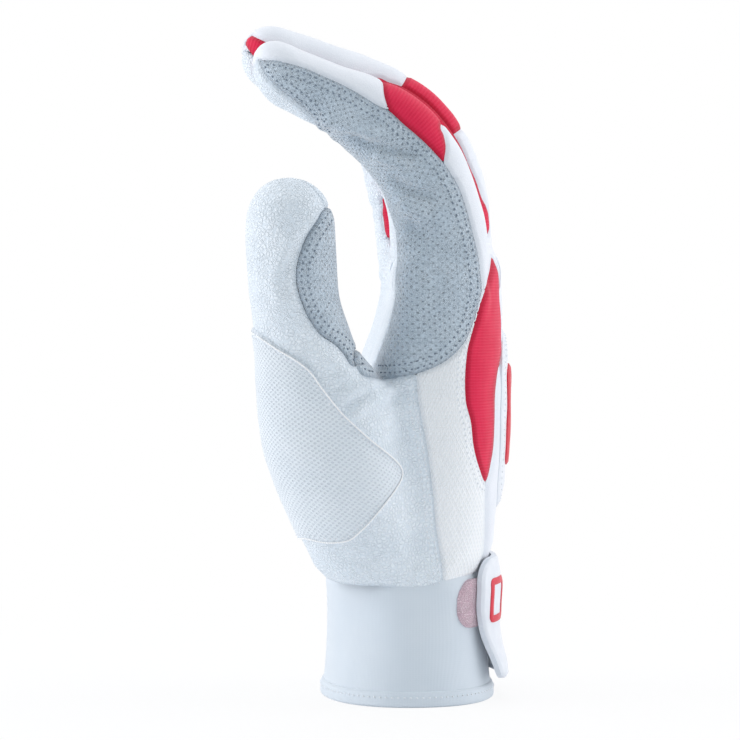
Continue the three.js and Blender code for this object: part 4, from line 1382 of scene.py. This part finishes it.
def lane_overlap(rise):
    """How far a finger's sheets reach past the line to the next finger, where the fingers part."""
    return LANE_OVERLAP * ease(rise, *PARTING_RISES)


def soft_corner(sides, corner):
    """Distance inside several sides, with its corners rounded."""
    past = [np.maximum(corner - side, 0) for side in sides]
    outside = np.sqrt(sum(part * part for part in past))
    return np.where(outside > 0, corner - outside, np.minimum.reduce(sides))


def plate_seam(turns, heights, radius, turn, height, half_turn, half_height, corner):
    """Distance inside a rectangle with round corners, drawn round the glove by angle and height."""
    x = in_degrees(np.abs(turns - turn) - half_turn, radius) + corner
    y = np.abs(heights - height) - half_height + corner
    outside = np.hypot(np.maximum(x, 0), np.maximum(y, 0))
    return corner - outside - np.minimum(np.maximum(x, y), 0)


class GloveForm:
    """A smooth form of the hand and one finger, and where each of its points lies on them."""

    def __init__(self, finger, *others):
        self.finger = finger
        self.form = fused([hand_rings(), *others, finger.rings()])
        self.points = self.form.points
        self.photo = to_photo(self.points)
        self.along, self.lift, self.around = finger.locate(self.points)
        self.rise = self.points[:, 2] - CUFF_HEIGHT
        self.palm_turn = hand_angle(self.points)
        self.low_join = [finger.split - self.along, self.rise - LANE_RISE]
        self.high_join = [self.along - finger.split]

    def shown(self, outline):
        """Distance inside an outline of the photograph, in millimetres."""
        return inside_outline(self.photo, outline) / PIXELS_PER_MM

    def arc(self, degrees):
        """Distance round the finger."""
        return in_degrees(degrees, self.finger.half_width + FINGER_SKIN)

    def tip_patch(self, lift):
        """A small round place at the finger's end, where its panels come together."""
        end = self.finger.point(self.finger.length, lift, 0)
        return TIP_PATCH - np.linalg.norm(self.points - end, axis=1)


class ThumbSide(GloveForm):
    """The hand, the thumb and the index finger, which the photograph shows, with their seams."""

    def __init__(self):
        super().__init__(index, thumb_rings())
        facing = -(self.form.normals @ VIEW_FORWARD)
        self.seen = facing - SEEN_FACING
        self.whole = self.around % 360
        self.front = -self.points[:, 1]
        thumb_out, self.thumb_turn = thumb_place(self.points)
        at_thumb = (THUMB_SKIN - thumb_out) * THUMB_RADIUS
        self.near_thumb = np.where(self.rise < THUMB_TOP + 5, at_thumb, -FAR_INSIDE)
        self.above_cuff = self.points[:, 2] - cuff_edge(self.palm_turn)
        self.at_cuff = CUFF_SINK * ease(self.above_cuff, 6, 0)
        overlap = lane_overlap(self.rise) * ease(self.rise, *INDEX_LANE_ENDS)
        self.lane_side = index.lane_end + self.front + overlap
        self.on_index = np.minimum(FINGER_REACH - np.abs(self.lift), self.lane_side)
        creases = crease_relief(index, self.along, self.around)
        creases = creases * ease(self.along, *INDEX_CREASES) * (self.on_index > 0)
        self.form.values["relief"] = fold_relief(self.photo, facing) + creases + uneven_relief(self.points)
        self.draw_grey()
        self.draw_side()
        self.draw_thumb()

    def draw_grey(self):
        """The grey leather, which ends on the palm side of the finger and in the web to the thumb."""
        limit = mix(GREY_PALM_EDGE, PALM_EDGE, ease(self.along, *GREY_NARROWS))
        self.palm_limit = mix(GREY_WEB_EDGE, limit, ease(self.along, *GREY_WEB))
        far_edge = in_degrees(self.whole - self.palm_limit, GREY_RADIUS)
        far_edge = far_edge + LANE_OVERLAP * ease(self.along, *STRIP_OVERLAP)
        far_edge = np.where(self.whole < GREY_BACK_EDGE, far_edge, FAR_INSIDE)
        at_web = ease(self.along, *WEB_STARTS)
        reach = FINGER_REACH - np.abs(self.lift) + WEB_DEPTH * at_web
        web_room = np.minimum(reach, self.lane_side + WEB_REACH * at_web)
        self.grey_shown = self.shown(GREY_OUTLINE)
        self.grey = soft_corner([self.grey_shown, far_edge, web_room], GREY_CORNER)

    def draw_side(self):
        """The red leaf and the diamond mesh below it."""
        leaf_back = self.front - LEAF_BACK - LEAF_BOW * ((self.rise - LEAF_MIDDLE) / LEAF_HALF_HEIGHT) ** 2
        self.leaf = np.minimum(self.shown(LEAF_OUTLINE), leaf_back)
        self.mesh_left = beside_line(self.photo, MESH_LEFT) / PIXELS_PER_MM
        mesh_right = beside_line(self.photo, MESH_RIGHT) / PIXELS_PER_MM
        limits = [self.front - FRONT_LINE, -self.grey, -self.leaf, MESH_TOP - self.rise]
        self.net = np.minimum.reduce([-self.mesh_left, mesh_right, *limits])

    def draw_thumb(self):
        """The thumb's grip, its back, and its front with the ball of the thumb."""
        start, end = GRIP_ANGLES
        self.grip_shown = self.shown(GRIP_OUTLINE)
        self.grip = np.minimum.reduce([
            self.grip_shown,
            in_degrees(end - self.thumb_turn, THUMB_SEAM_RADIUS),
            in_degrees(self.thumb_turn - start, THUMB_SEAM_RADIUS),
            self.near_thumb + GRIP_OVER,
            -self.grey,
        ])
        back_limit = mix(*THUMB_BACK_LIMITS, ease(self.rise, *THUMB_BACK_TURNS))
        from_back = turned(self.thumb_turn, THUMB_BACK_ANGLE)
        self.thumb_back = np.minimum.reduce([
            in_degrees(from_back + THUMB_BACK_ANGLE - back_limit, THUMB_SEAM_RADIUS),
            in_degrees(THUMB_BACK_HALF - from_back, THUMB_SEAM_RADIUS),
            self.rise - THUMB_BACK_START,
            self.near_thumb,
            -self.grip,
        ])
        ball_turn = self.palm_turn + mix(*BALL_ANGLES, ease(self.rise, *BALL_RISES))
        ball = soft_corner([in_degrees(ball_turn, BALL_RADIUS), BALL_TOP - self.rise], BALL_CORNER)
        base = np.minimum.reduce([self.mesh_left, ball, self.front - FRONT_LINE])
        whole = np.maximum(base, self.near_thumb)
        others = [-self.grey, -self.grip, -self.thumb_back]
        self.thumb_front = np.minimum.reduce([whole, *others, self.mesh_left])


def stitched(distance, levels):
    """Rows of stitches at some distances from a line."""
    return [(distance, level) for level in levels]


def grey_panels(at):
    """The grey leather of the index finger, in two pieces."""
    shared = dict(flat=finger_flat(index, 240), rows=stitched(at.grey_shown, GREY_STITCHES),
                  thread="grey_thread", sewn=at.seen)
    panel("index_grey_root", at.form, [at.grey], "grey_perforated_leather", ROOT_MOVERS["index"],
          joins=at.low_join[:1], replaces=("index_root_panel", "index_root_flex"), **shared)
    panel("index_grey_tip", at.form, [at.grey], "grey_perforated_leather", TIP_MOVERS["index"],
          joins=at.high_join, replaces=("index_tip_palm", "index_lower_palm", "index_knuckle_flex"), **shared)


def side_panels(at):
    """The red leaf and the mesh on the thumb side of the hand."""
    panel("red_leaf", at.form, [at.leaf, -at.grey], "red_stretch_knit", ROOT_MOVERS["index"], hand_flat(-45),
          replaces=("stretch_side_panel",))
    panel("mesh_side", at.form, [at.net, at.above_cuff], "white_diamond_mesh", ON_HAND, hand_flat(-70),
          rows=stitched(-at.leaf, LEAF_STITCHES), sink=at.at_cuff, replaces=("mesh_side_panel",))


def thumb_panels(at):
    """The thumb's front, back and grip, and the dimpled patch on its base."""
    form = at.form
    panel("thumb_front", form, [at.thumb_front, at.above_cuff], "white_leather", THUMB_MOVER,
          thumb_flat(-120), rows=stitched(at.mesh_left, MESH_STITCHES), sink=at.at_cuff,
          replaces=("thumb_base_panel", "thumb_front_panel", "thumb_root_flex"))
    panel("thumb_back", form, [at.thumb_back], "white_leather", THUMB_MOVER, thumb_flat(THUMB_BACK_ANGLE),
          replaces=("thumb_back_panel",))
    panel("thumb_grip", form, [at.grip], "grey_perforated_leather", THUMB_MOVER, thumb_flat(0), tuck=0.9,
          rows=stitched(at.grip_shown, GRIP_STITCHES), thread="grey_thread", sewn=at.seen,
          replaces=("thumb_grip_panel",))
    patch_turn = in_degrees(PATCH_HALF - np.abs(turned(at.thumb_turn, PATCH_ANGLE)), THUMB_RADIUS)
    patch = soft_corner([at.shown(THUMB_PATCH_OUTLINE), at.near_thumb + PATCH_OVER, patch_turn], PATCH_CORNER)
    panel("thumb_patch", form, [patch], "dimpled_white", THUMB_MOVER, thumb_flat(-120), raised=0.8, tuck=0.6,
          rows=[(patch, 1.5)], ridge=0.4, corded=True, replaces=("thumb_base_overlay",))


def hand_panels(at):
    """The back of the hand, the little-finger side and the palm."""
    form, rise, turn = at.form, at.rise, at.palm_turn
    taken = np.maximum.reduce([at.grey, at.leaf, at.net, at.thumb_front, at.thumb_back, at.grip])
    top = [LANE_RISE - rise]
    outer_half = OUTER_SIDE_HALF * ease(rise, LANE_RISE, OUTER_START)
    outer_turn = in_degrees(outer_half - np.abs(turn - OUTER_SIDE), HAND_RADIUS)
    outer = soft_corner([outer_turn, OUTER_TOP - rise], OUTER_CORNER)
    covered = np.minimum(outer, OUTER_TOP - OUTER_COVER - rise)
    back_turns = [in_degrees(degrees, HAND_RADIUS) for degrees in (OUTER_SIDE - turn, turn + BACK_END)]
    back = np.minimum.reduce([*back_turns, -covered])
    from_palm = turned(turn, 180)
    palm_sides = (from_palm + 180 - OUTER_SIDE, PALM_END - from_palm)
    palm_turns = [in_degrees(degrees, HAND_RADIUS) for degrees in palm_sides]
    palm = np.minimum.reduce([*palm_turns, -covered])
    outer_dip = OUTER_DIP * ease(rise, OUTER_TOP - OUTER_DIP_REACH, OUTER_TOP - OUTER_COVER)
    panel("backhand", form, [back, -taken, at.above_cuff], "smooth_white_leather", ON_HAND, hand_flat(0),
          joins=top, sink=at.at_cuff, replaces=("backhand_panel",))
    panel("outer_side", form, [outer, at.above_cuff], "white_leather", ON_HAND, hand_flat(90),
          joins=top, sink=at.at_cuff + outer_dip, replaces=("outer_side_panel",))
    panel("palm", form, [palm, -taken, at.above_cuff, -at.near_thumb], "white_leather", ON_HAND,
          hand_flat(180), joins=top, sink=at.at_cuff, replaces=("palm_panel",))


def plate_panels(at):
    """The moulded plate on the back of the hand, and the badge plate on it."""
    plate, badge = (plate_seam(at.palm_turn, at.rise, PLATE_RADIUS, **size) for size in (PLATE, BADGE))
    crown = PLATE_CROWN * ease(plate, 0, 11)
    panel("backhand_plate", at.form, [plate], "white_rubber", ON_HAND, hand_flat(0), raised=1.0, tuck=0.7,
          rows=[(plate, 2.0)], sink=-crown, replaces=("backhand_overlay",))
    panel("backhand_badge_plate", at.form, [badge], "red_rubber", ON_HAND, hand_flat(0), raised=2.2, tuck=0.6,
          sink=-crown, replaces=("backhand_badge",))


def index_panels(at):
    """The rest of the index finger: palm strip, cap, red knuckle, white band and far gusset."""
    form, along, around, whole = at.form, at.along, at.around, at.whole
    tip_patch = at.tip_patch(-index.drop(index.length))
    past_gusset = at.arc(whole - PALM_EDGE)
    gusset = np.minimum.reduce([at.arc(around - BACK_EDGE), -past_gusset, -tip_patch, at.rise - GUSSET_START])
    palm = np.minimum.reduce([past_gusset, at.arc(at.palm_limit - whole), -at.grey])
    strip = np.minimum.reduce([past_gusset, at.arc(280 - whole), along - STRIP_START, -at.grey, -tip_patch])
    back = np.minimum.reduce([at.arc(BACK_EDGE - around), at.arc(around + 140), -strip])
    back = np.minimum(np.maximum(back, tip_patch + 0.6), -at.grey)
    knuckle = np.minimum(back, at.shown(KNUCKLE_OUTLINE))
    beside_knuckle = np.minimum(back, -knuckle)
    top, below = finger_flat(index, 0), finger_flat(index, 180)
    red, white = "red_stretch_knit", "smooth_white_leather"
    root, tip = ROOT_MOVERS["index"], TIP_MOVERS["index"]
    panel("index_gusset_root", form, [gusset, at.on_index], red, root, top, laps=at.low_join,
          replaces=("index_lower_outer_gusset",))
    panel("index_gusset_tip", form, [gusset, at.on_index], red, tip, top, joins=at.high_join,
          replaces=("index_tip_outer_gusset",))
    panel("index_palm_root", form, [palm, at.on_index], "white_leather", root, below, laps=at.low_join)
    panel("index_palm_tip", form, [palm, at.on_index], "white_leather", tip, below,
          joins=[*at.high_join, STRIP_START - along])
    panel("index_tip_strip", form, [strip, at.on_index], "white_leather", tip, finger_flat(index, 200))
    panel("index_knuckle", form, [knuckle, at.on_index], red, tip, top, joins=at.high_join)
    panel("index_cap", form, [beside_knuckle, at.on_index], white, tip, top,
          joins=[*at.high_join, along - index.knuckle], replaces=("index_tip_back",))
    panel("index_band_tip", form, [beside_knuckle, at.on_index], white, tip, top,
          joins=[*at.high_join, index.knuckle - along])
    web_wall(index, form, 1)
    panel("index_band_root", form, [back, -at.leaf, at.on_index], white, root, top, laps=at.low_join,
          replaces=("index_lower_back",))


def thumb_side_panels():
    at = ThumbSide()
    for make in (grey_panels, side_panels, thumb_panels, hand_panels, plate_panels, index_panels):
        make(at)


def fourchette_outline():
    """The photograph's part where the red gusset shows between the backs of the index and middle fingers."""
    along = np.linspace(*FOURCHETTE, 12)
    width = FOURCHETTE_SHOWS * ease(along, FOURCHETTE[1], FOURCHETTE[1] - 10) * ease(along, 17, 21)
    width = width + 1.6 * ease(along, 19, 22) * ease(along, 28, 23)
    edge = to_photo(index.point(along, index.half_depth(along) - index.drop(along) + width, 0))
    return [*edge.tolist(), *FOURCHETTE_FAR]


def web_wall(finger, form, side):
    """A wall inside the hand, below one side of a finger, that keeps the glove shut when the finger bends."""
    lane = finger.lane_end if side > 0 else finger.lane_start
    y = lane - side * WEB_GAP
    near = form.points[np.abs(form.points[:, 1] - y) < WEB_NEAR]
    rows = []
    for rise in np.linspace(*WEB_RISES, WEB_ROWS):
        x = near[np.abs(near[:, 2] - CUFF_HEIGHT - rise) < WEB_NEAR, 0]
        inset = mix(*WEB_INSETS, ease(rise, PARTING_RISES[0], WEB_RISES[1]))
        row = np.linspace(x.min() + inset, x.max() - inset, WEB_COLUMNS)
        rows.append(np.stack(np.broadcast_arrays(row, y, CUFF_HEIGHT + rise), axis=1))
    skin = Skin(np.concatenate(rows), grid_triangles(WEB_ROWS, WEB_COLUMNS)[:, ::side])
    points, faces = closed_sheet(skin, LEATHER)
    label = "outer" if side > 0 else "inner"
    add_mesh(f"{finger.name}_{label}_web", points, faces, "red_stretch_knit", ROOT_MOVERS[finger.name],
             finger_flat(finger, 0)(points), np.full(len(points), PUFF_REACH))


def gusset_side(at, split, half):
    """Distance inside a gusset, by its half angle either side of the line between back and palm."""
    return np.minimum(at.arc(half) - np.abs(split), at.rise - GUSSET_START)


def middle_seams(at):
    """The line between back and palm, and the gussets: the inner one shows beside the index finger."""
    inner = at.around < 0
    at_tip = ease(at.along, at.finger.length - 16, at.finger.length - 5)
    split = at.arc(SIDE_MIDDLE - np.abs(at.around))
    side = gusset_side(at, split, np.where(inner, SIDE_HALF + 50 * at_tip, SIDE_HALF))
    side = np.where(inner & (at_tip > 0), np.minimum(side, at.shown(TIP_GUSSET_OUTLINE)), side)
    back_limit = mix(16, 38, ease(np.abs(at.along - 22), 5, 14))
    limits = [at.shown(fourchette_outline()), at.arc(-at.around - back_limit), at.arc(at.around + PALM_EDGE)]
    return split, np.maximum(side, soft_corner(limits, 2.5))


def ring_seams(at):
    """The line between back and palm, and the gussets."""
    split = at.arc(SIDE_MIDDLE - np.abs(at.around))
    return split, gusset_side(at, split, SIDE_HALF)


def little_seams(at):
    """The line between back and palm, which runs into the hand's own, and the gussets."""
    outer = at.around > 0
    tapered = ease(at.along, 13, 42)
    middle = np.where(outer, mix(OUTER_SIDE, SIDE_MIDDLE, tapered), SIDE_MIDDLE)
    split = at.arc(middle - np.abs(at.around))
    hand_split = in_degrees(OUTER_SIDE - at.palm_turn, HAND_RADIUS)
    split = np.where(outer, mix(hand_split, split, ease(at.along, 14, 36)), split)
    side = gusset_side(at, split, np.where(outer, SIDE_HALF * tapered, SIDE_HALF))
    side = np.maximum(side, np.minimum(at.shown(PALM_SLIT_OUTLINE), at.arc(-90 - at.around)))
    return split, np.where(outer, soft_corner([side, at.along - 22], OUTER_CORNER), side)


FINGER_SEAMS = {"middle": middle_seams, "ring": ring_seams, "little": little_seams}


def lane_joins(at):
    """Joins along the lines to the next fingers, and how far a panel's root dips under its neighbour."""
    parted = lane_overlap(at.rise) + 40 * ease(at.rise, 91, 94)
    past_start = at.points[:, 1] - at.finger.lane_start
    lane = [FINGER_REACH - np.abs(at.lift), past_start + parted]
    if at.finger.name != "little":
        lane.append(at.finger.lane_end - at.points[:, 1] + parted)
    return lane, LAP_DIP * ease(past_start, 1.6, 0) * ease(at.rise, 82, 88)


def finger_panels(name):
    """One of the other fingers: palm, back, red knuckle and gussets."""
    finger = fingers[name]
    at = GloveForm(finger)
    form, along = at.form, at.along
    form.values["relief"] = crease_relief(finger, along, at.around) + uneven_relief(at.points)
    split, side = FINGER_SEAMS[name](at)
    tip_patch = at.tip_patch(0)
    side = np.minimum(side, -tip_patch)
    back = np.maximum(np.minimum(split, -side), tip_patch)
    palm = np.minimum.reduce([-split, -side, -tip_patch])
    start, end = (finger.knuckle + step for step in KNUCKLE_PANEL)
    knuckle = np.minimum.reduce([back, along - start, end - along])
    lane, under = lane_joins(at)
    root = dict(mover=ROOT_MOVERS[name], joins=lane, laps=at.low_join)
    tip = dict(mover=TIP_MOVERS[name], joins=[*at.high_join, *lane])
    top, below = finger_flat(finger, 0), finger_flat(finger, 180)
    red, white = "red_stretch_knit", "smooth_white_leather"
    panel(f"{name}_palm_root", form, [palm], "white_leather", flat=below, sink=under,
          replaces=(f"{name}_root_flex", f"{name}_lower_palm"), **root)
    panel(f"{name}_palm_tip", form, [palm], "white_leather", flat=below,
          replaces=(f"{name}_tip_palm",), **tip)
    panel(f"{name}_band_root", form, [back], white, flat=top, sink=under,
          replaces=(f"{name}_lower_back",), **root)
    panel(f"{name}_band_tip", form, [back, start - along], white, flat=top, **tip)
    panel(f"{name}_knuckle", form, [knuckle], red, flat=top, replaces=(f"{name}_knuckle_flex",), **tip)
    panel(f"{name}_cap", form, [back, along - end], white, flat=top, replaces=(f"{name}_tip_back",), **tip)
    for sign, label in ((-1, "inner"), (1, "outer")):
        if sign < 0 or name != "little":
            web_wall(finger, form, sign)
        gusset = [np.minimum(side, at.arc(sign * at.around))]
        nodes = [f"{name}_lower_{label}_gusset", f"{name}_tip_{label}_gusset"]
        nodes = [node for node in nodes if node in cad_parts]
        panel(f"{name}_{label}_gusset_root", form, gusset, red, flat=top, replaces=nodes[:1], **root)
        panel(f"{name}_{label}_gusset_tip", form, gusset, red, flat=top, replaces=nodes[1:], **tip)


def cuff_skin(angles, heights, out):
    """A sheet laid round the cuff, with its angle and height at each point."""
    turn, height = np.meshgrid(np.linspace(*angles), np.linspace(*heights), indexing="ij")
    points = cuff_point(turn, height, out(turn, height)).reshape(-1, 3)
    skin = Skin(points, grid_triangles(*turn.shape))
    skin.turn, skin.height = turn.ravel(), height.ravel()
    return skin


def cuff_flat(points):
    angle = section_angle(points[:, 0], points[:, 1], CUFF_HALF_DEPTH, CUFF_HALF_BREADTH)
    return np.stack([in_degrees(turned(angle, 190), CUFF_RADIUS), points[:, 2]], axis=1)


def sheet_piece(name, skin, thickness, finish, mover):
    points, faces = closed_sheet(skin, thickness)
    return add_mesh(name, points, faces, finish, mover, cuff_flat(points))


def cuff_soft(turn, height):
    """The soft waves of the cuff, and how it leans in at its top."""
    wave = np.sin(np.radians(turn * 5 + 40)) * np.sin(height / 9 + np.radians(turn * 2))
    return 0.35 * wave * ease(height, 4, 16) - CUFF_LEAN_IN * ease(height, 33, 40)


def hem_bound(turn, height):
    """The round binding of the hem."""
    return HEM_PUFF * np.sqrt(np.clip(1 - (np.abs(height / HEM_HEIGHT - 0.5) * 2) ** 4, 0, 1))


def cuff_pieces():
    around = (SLIT_ANGLE + SLIT_HALF_ANGLE, SLIT_ANGLE + 360 - SLIT_HALF_ANGLE, 240)
    band = cuff_skin(around, (0.6, 45.0, 60), cuff_soft)
    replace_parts(sheet_piece("cuff", band, CUFF_WALL, "cuff_stretch_knit", ON_HAND), "cuff_band")
    hem = cuff_skin(around, (0.0, HEM_HEIGHT, 16), hem_bound)
    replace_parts(sheet_piece("hem", hem, CUFF_WALL + 0.6, "cuff_stretch_knit", ON_HAND), "cuff_hem")
    row = cuff_skin(around, (2.9, 3.1, 2), hem_bound)
    line = np.arange(0, len(row.points), 2)
    sew(row, np.stack([line[:-1], line[1:]], 1), ON_HAND, "white_thread")


TAB_MOVER = Mover("hand", "closure_tab", *(
    cuff_point(np.array([turn]), np.array([(TAB_TOP + TAB_BOTTOM) / 2]), np.array([TAB_RAISED]))[0]
    for turn in (TAB_HINGE_ANGLE, TAB_HINGE_ANGLE - TAB_BEND)
))


def tab_out(turn, height, more=0.0):
    """How far the tab stands off the cuff: its lower corner flares, and its top leans in."""
    flare = ease(turn, 20, -30) * ease(height, 22, 7)
    return TAB_RAISED + TAB_FLARE * flare - CUFF_LEAN_IN * ease(height, 32, 42) + more


def cuff_plate(skin, size):
    return plate_seam(skin.turn, skin.height, CUFF_RADIUS, **size)


def tab_piece():
    skin = cuff_skin((-58, TAB_HINGE_ANGLE, 130), (TAB_BOTTOM - 2, TAB_TOP + 1, 70), tab_out)
    up = np.clip((skin.height - TAB_BOTTOM) / (TAB_TOP - TAB_BOTTOM), 0, 1)
    free = mix(*TAB_FREE_ANGLES, ease(up, 0, 0.65))
    top_corner = soft_corner([in_degrees(skin.turn - free, CUFF_RADIUS), TAB_TOP - skin.height], 8.0)
    outline = soft_corner([top_corner, skin.height - TAB_BOTTOM], 3.0)
    panel("tab", skin, [outline], "white_rubber", TAB_MOVER, cuff_flat, thickness=TAB_THICKNESS, tuck=0.7,
          replaces=("closure_tab",))


def anchor_piece():
    """The sewn end of the tab."""
    heights = (TAB_BOTTOM - 1, TAB_TOP + 1, 70)
    skin = cuff_skin((38, 58, 60), heights, lambda turn, height: np.full(turn.shape, ANCHOR_RAISED))
    anchor = soft_corner([
        in_degrees(ANCHOR_END_ANGLE - skin.turn, CUFF_RADIUS),
        in_degrees(skin.turn - TAB_HINGE_ANGLE - 0.4, CUFF_RADIUS),
        TAB_TOP - skin.height,
        skin.height - TAB_BOTTOM,
    ], 2.0)
    panel("tab_anchor_end", skin, [anchor], "white_rubber", ON_HAND, cuff_flat, thickness=ANCHOR_RAISED,
          tuck=0.6, rows=[(anchor, 1.6)], replaces=("tab_anchor",))


def tab_pieces():
    tab_piece()
    skin = cuff_skin((-58, -10, 90), (17, 40, 60), lambda turn, height: tab_out(turn, height, EMBLEM_RAISED))
    emblem = cuff_plate(skin, EMBLEM)
    panel("tab_emblem_ring", skin, [emblem, EMBLEM_WIDTH - emblem], "red_rubber", ON_TAB, cuff_flat,
          thickness=0.5, tuck=0.2, replaces=("tab_emblem",))
    skin = cuff_skin((-24, 10, 70), (11, 40, 60), lambda turn, height: tab_out(turn, height, -TAB_THICKNESS))
    hook = cuff_plate(skin, HOOK_TAPE)
    panel("hook_tape", skin, [hook], "loop_tape", ON_TAB, cuff_flat, thickness=0.8, tuck=0.1,
          replaces=("hook_patch",))
    skin = cuff_skin((-62, 8, 120), (11, 40, 60), lambda turn, height: np.full(turn.shape, LOOP_RAISED))
    loop = cuff_plate(skin, LOOP_TAPE)
    panel("loop_tape_patch", skin, [loop], "loop_tape", ON_HAND, cuff_flat, thickness=1.2, tuck=0.5,
          replaces=("loop_patch",))
    anchor_piece()


def add_floor(scene):
    mesh = bpy.data.meshes.new("floor")
    corners = [(x * FLOOR_REACH, y * FLOOR_REACH, 0) for x, y in ((-1, -1), (1, -1), (1, 1), (-1, 1))]
    mesh.from_pydata(corners, [], [(0, 1, 2, 3)])
    floor = bpy.data.objects.new("floor", mesh)
    scene.collection.objects.link(floor)
    mesh.materials.append(floor_material())


def light_world(scene):
    """A pale world that lights the glove softly, and is plain white where it is seen."""
    world = bpy.data.worlds.new("studio")
    scene.world = world
    world.use_nodes = True
    tree = NodeTree(world.node_tree)
    background = world.node_tree.nodes["Background"]
    path = tree.add("LightPath").outputs
    seen = tree.math("MAXIMUM", path["Is Glossy Ray"], path["Is Transmission Ray"])
    seen = tree.math("MAXIMUM", seen, path["Is Camera Ray"])
    tree.feed(background.inputs["Color"], tree.mixed(seen, WORLD_TINT, (1, 1, 1, 1)))
    strength = tree.math("MULTIPLY_ADD", seen, 1 - WORLD_LIGHT, WORLD_LIGHT)
    tree.feed(background.inputs["Strength"], strength)


def add_lamps(scene):
    for name, place, size, power in LAMPS:
        lamp = bpy.data.lights.new(name, "AREA")
        lamp.shape = "RECTANGLE"
        lamp.size, lamp.size_y = size
        lamp.energy = power
        lamp.color = LAMP_TINT
        holder = bpy.data.objects.new(name, lamp)
        scene.collection.objects.link(holder)
        holder.location = place
        holder.rotation_euler = (Vector(LAMP_AIM) - Vector(place)).to_track_quat("-Z", "Y").to_euler()


def stage_and_light():
    scene = bpy.context.scene
    scene.view_settings.view_transform = "Standard"
    add_floor(scene)
    light_world(scene)
    add_lamps(scene)


def floor_material():
    finish = Finish("pale_floor", 0.7)
    cloud = finish.add("TexNoise", {"Scale": 40.0, "Detail": 3.0}).outputs[0]
    finish.paint(colour(246, 247, 249), (cloud, 0.2, colour(242, 244, 247)))
    output = finish.tree.nodes["Material Output"]
    path = finish.add("LightPath").outputs
    seen = finish.math("MAXIMUM", path["Is Camera Ray"], path["Is Glossy Ray"])
    glow = finish.add("Emission", {"Color": (1, 1, 1, 1), "Strength": 1.0})
    both = finish.add("MixShader")
    place = finish.add("TexCoord").outputs["Object"]
    reach = finish.add("VectorMath", {0: place}, operation="LENGTH").outputs["Value"]
    clear = finish.math("MULTIPLY_ADD", finish.ramp(reach, 0.08, 0.26), 0.14, 0.86)
    finish.feed(both.inputs[0], finish.math("MULTIPLY", seen, clear))
    finish.feed(both.inputs[1], finish.shader.outputs[0])
    finish.feed(both.inputs[2], glow.outputs[0])
    finish.feed(output.inputs["Surface"], both.outputs[0])
    return finish.material


def photo_camera():
    lens = bpy.data.cameras.new("photo camera")
    lens.sensor_width = SENSOR_WIDTH
    lens.lens = SENSOR_WIDTH * FOCAL_PIXELS / PHOTO_SIDE
    camera = bpy.data.objects.new("photo camera", lens)
    bpy.context.scene.collection.objects.link(camera)
    camera.location = in_frame(VIEW_EYE)
    camera.rotation_euler = Vector(VIEW_FORWARD).to_track_quat("-Z", "Y").to_euler()
    bpy.context.scene.camera = camera


photo_camera()
thumb_side_panels()
for finger_name in FINGER_SEAMS:
    finger_panels(finger_name)
cuff_pieces()
tab_pieces()
add_stitches()
stage_and_light()
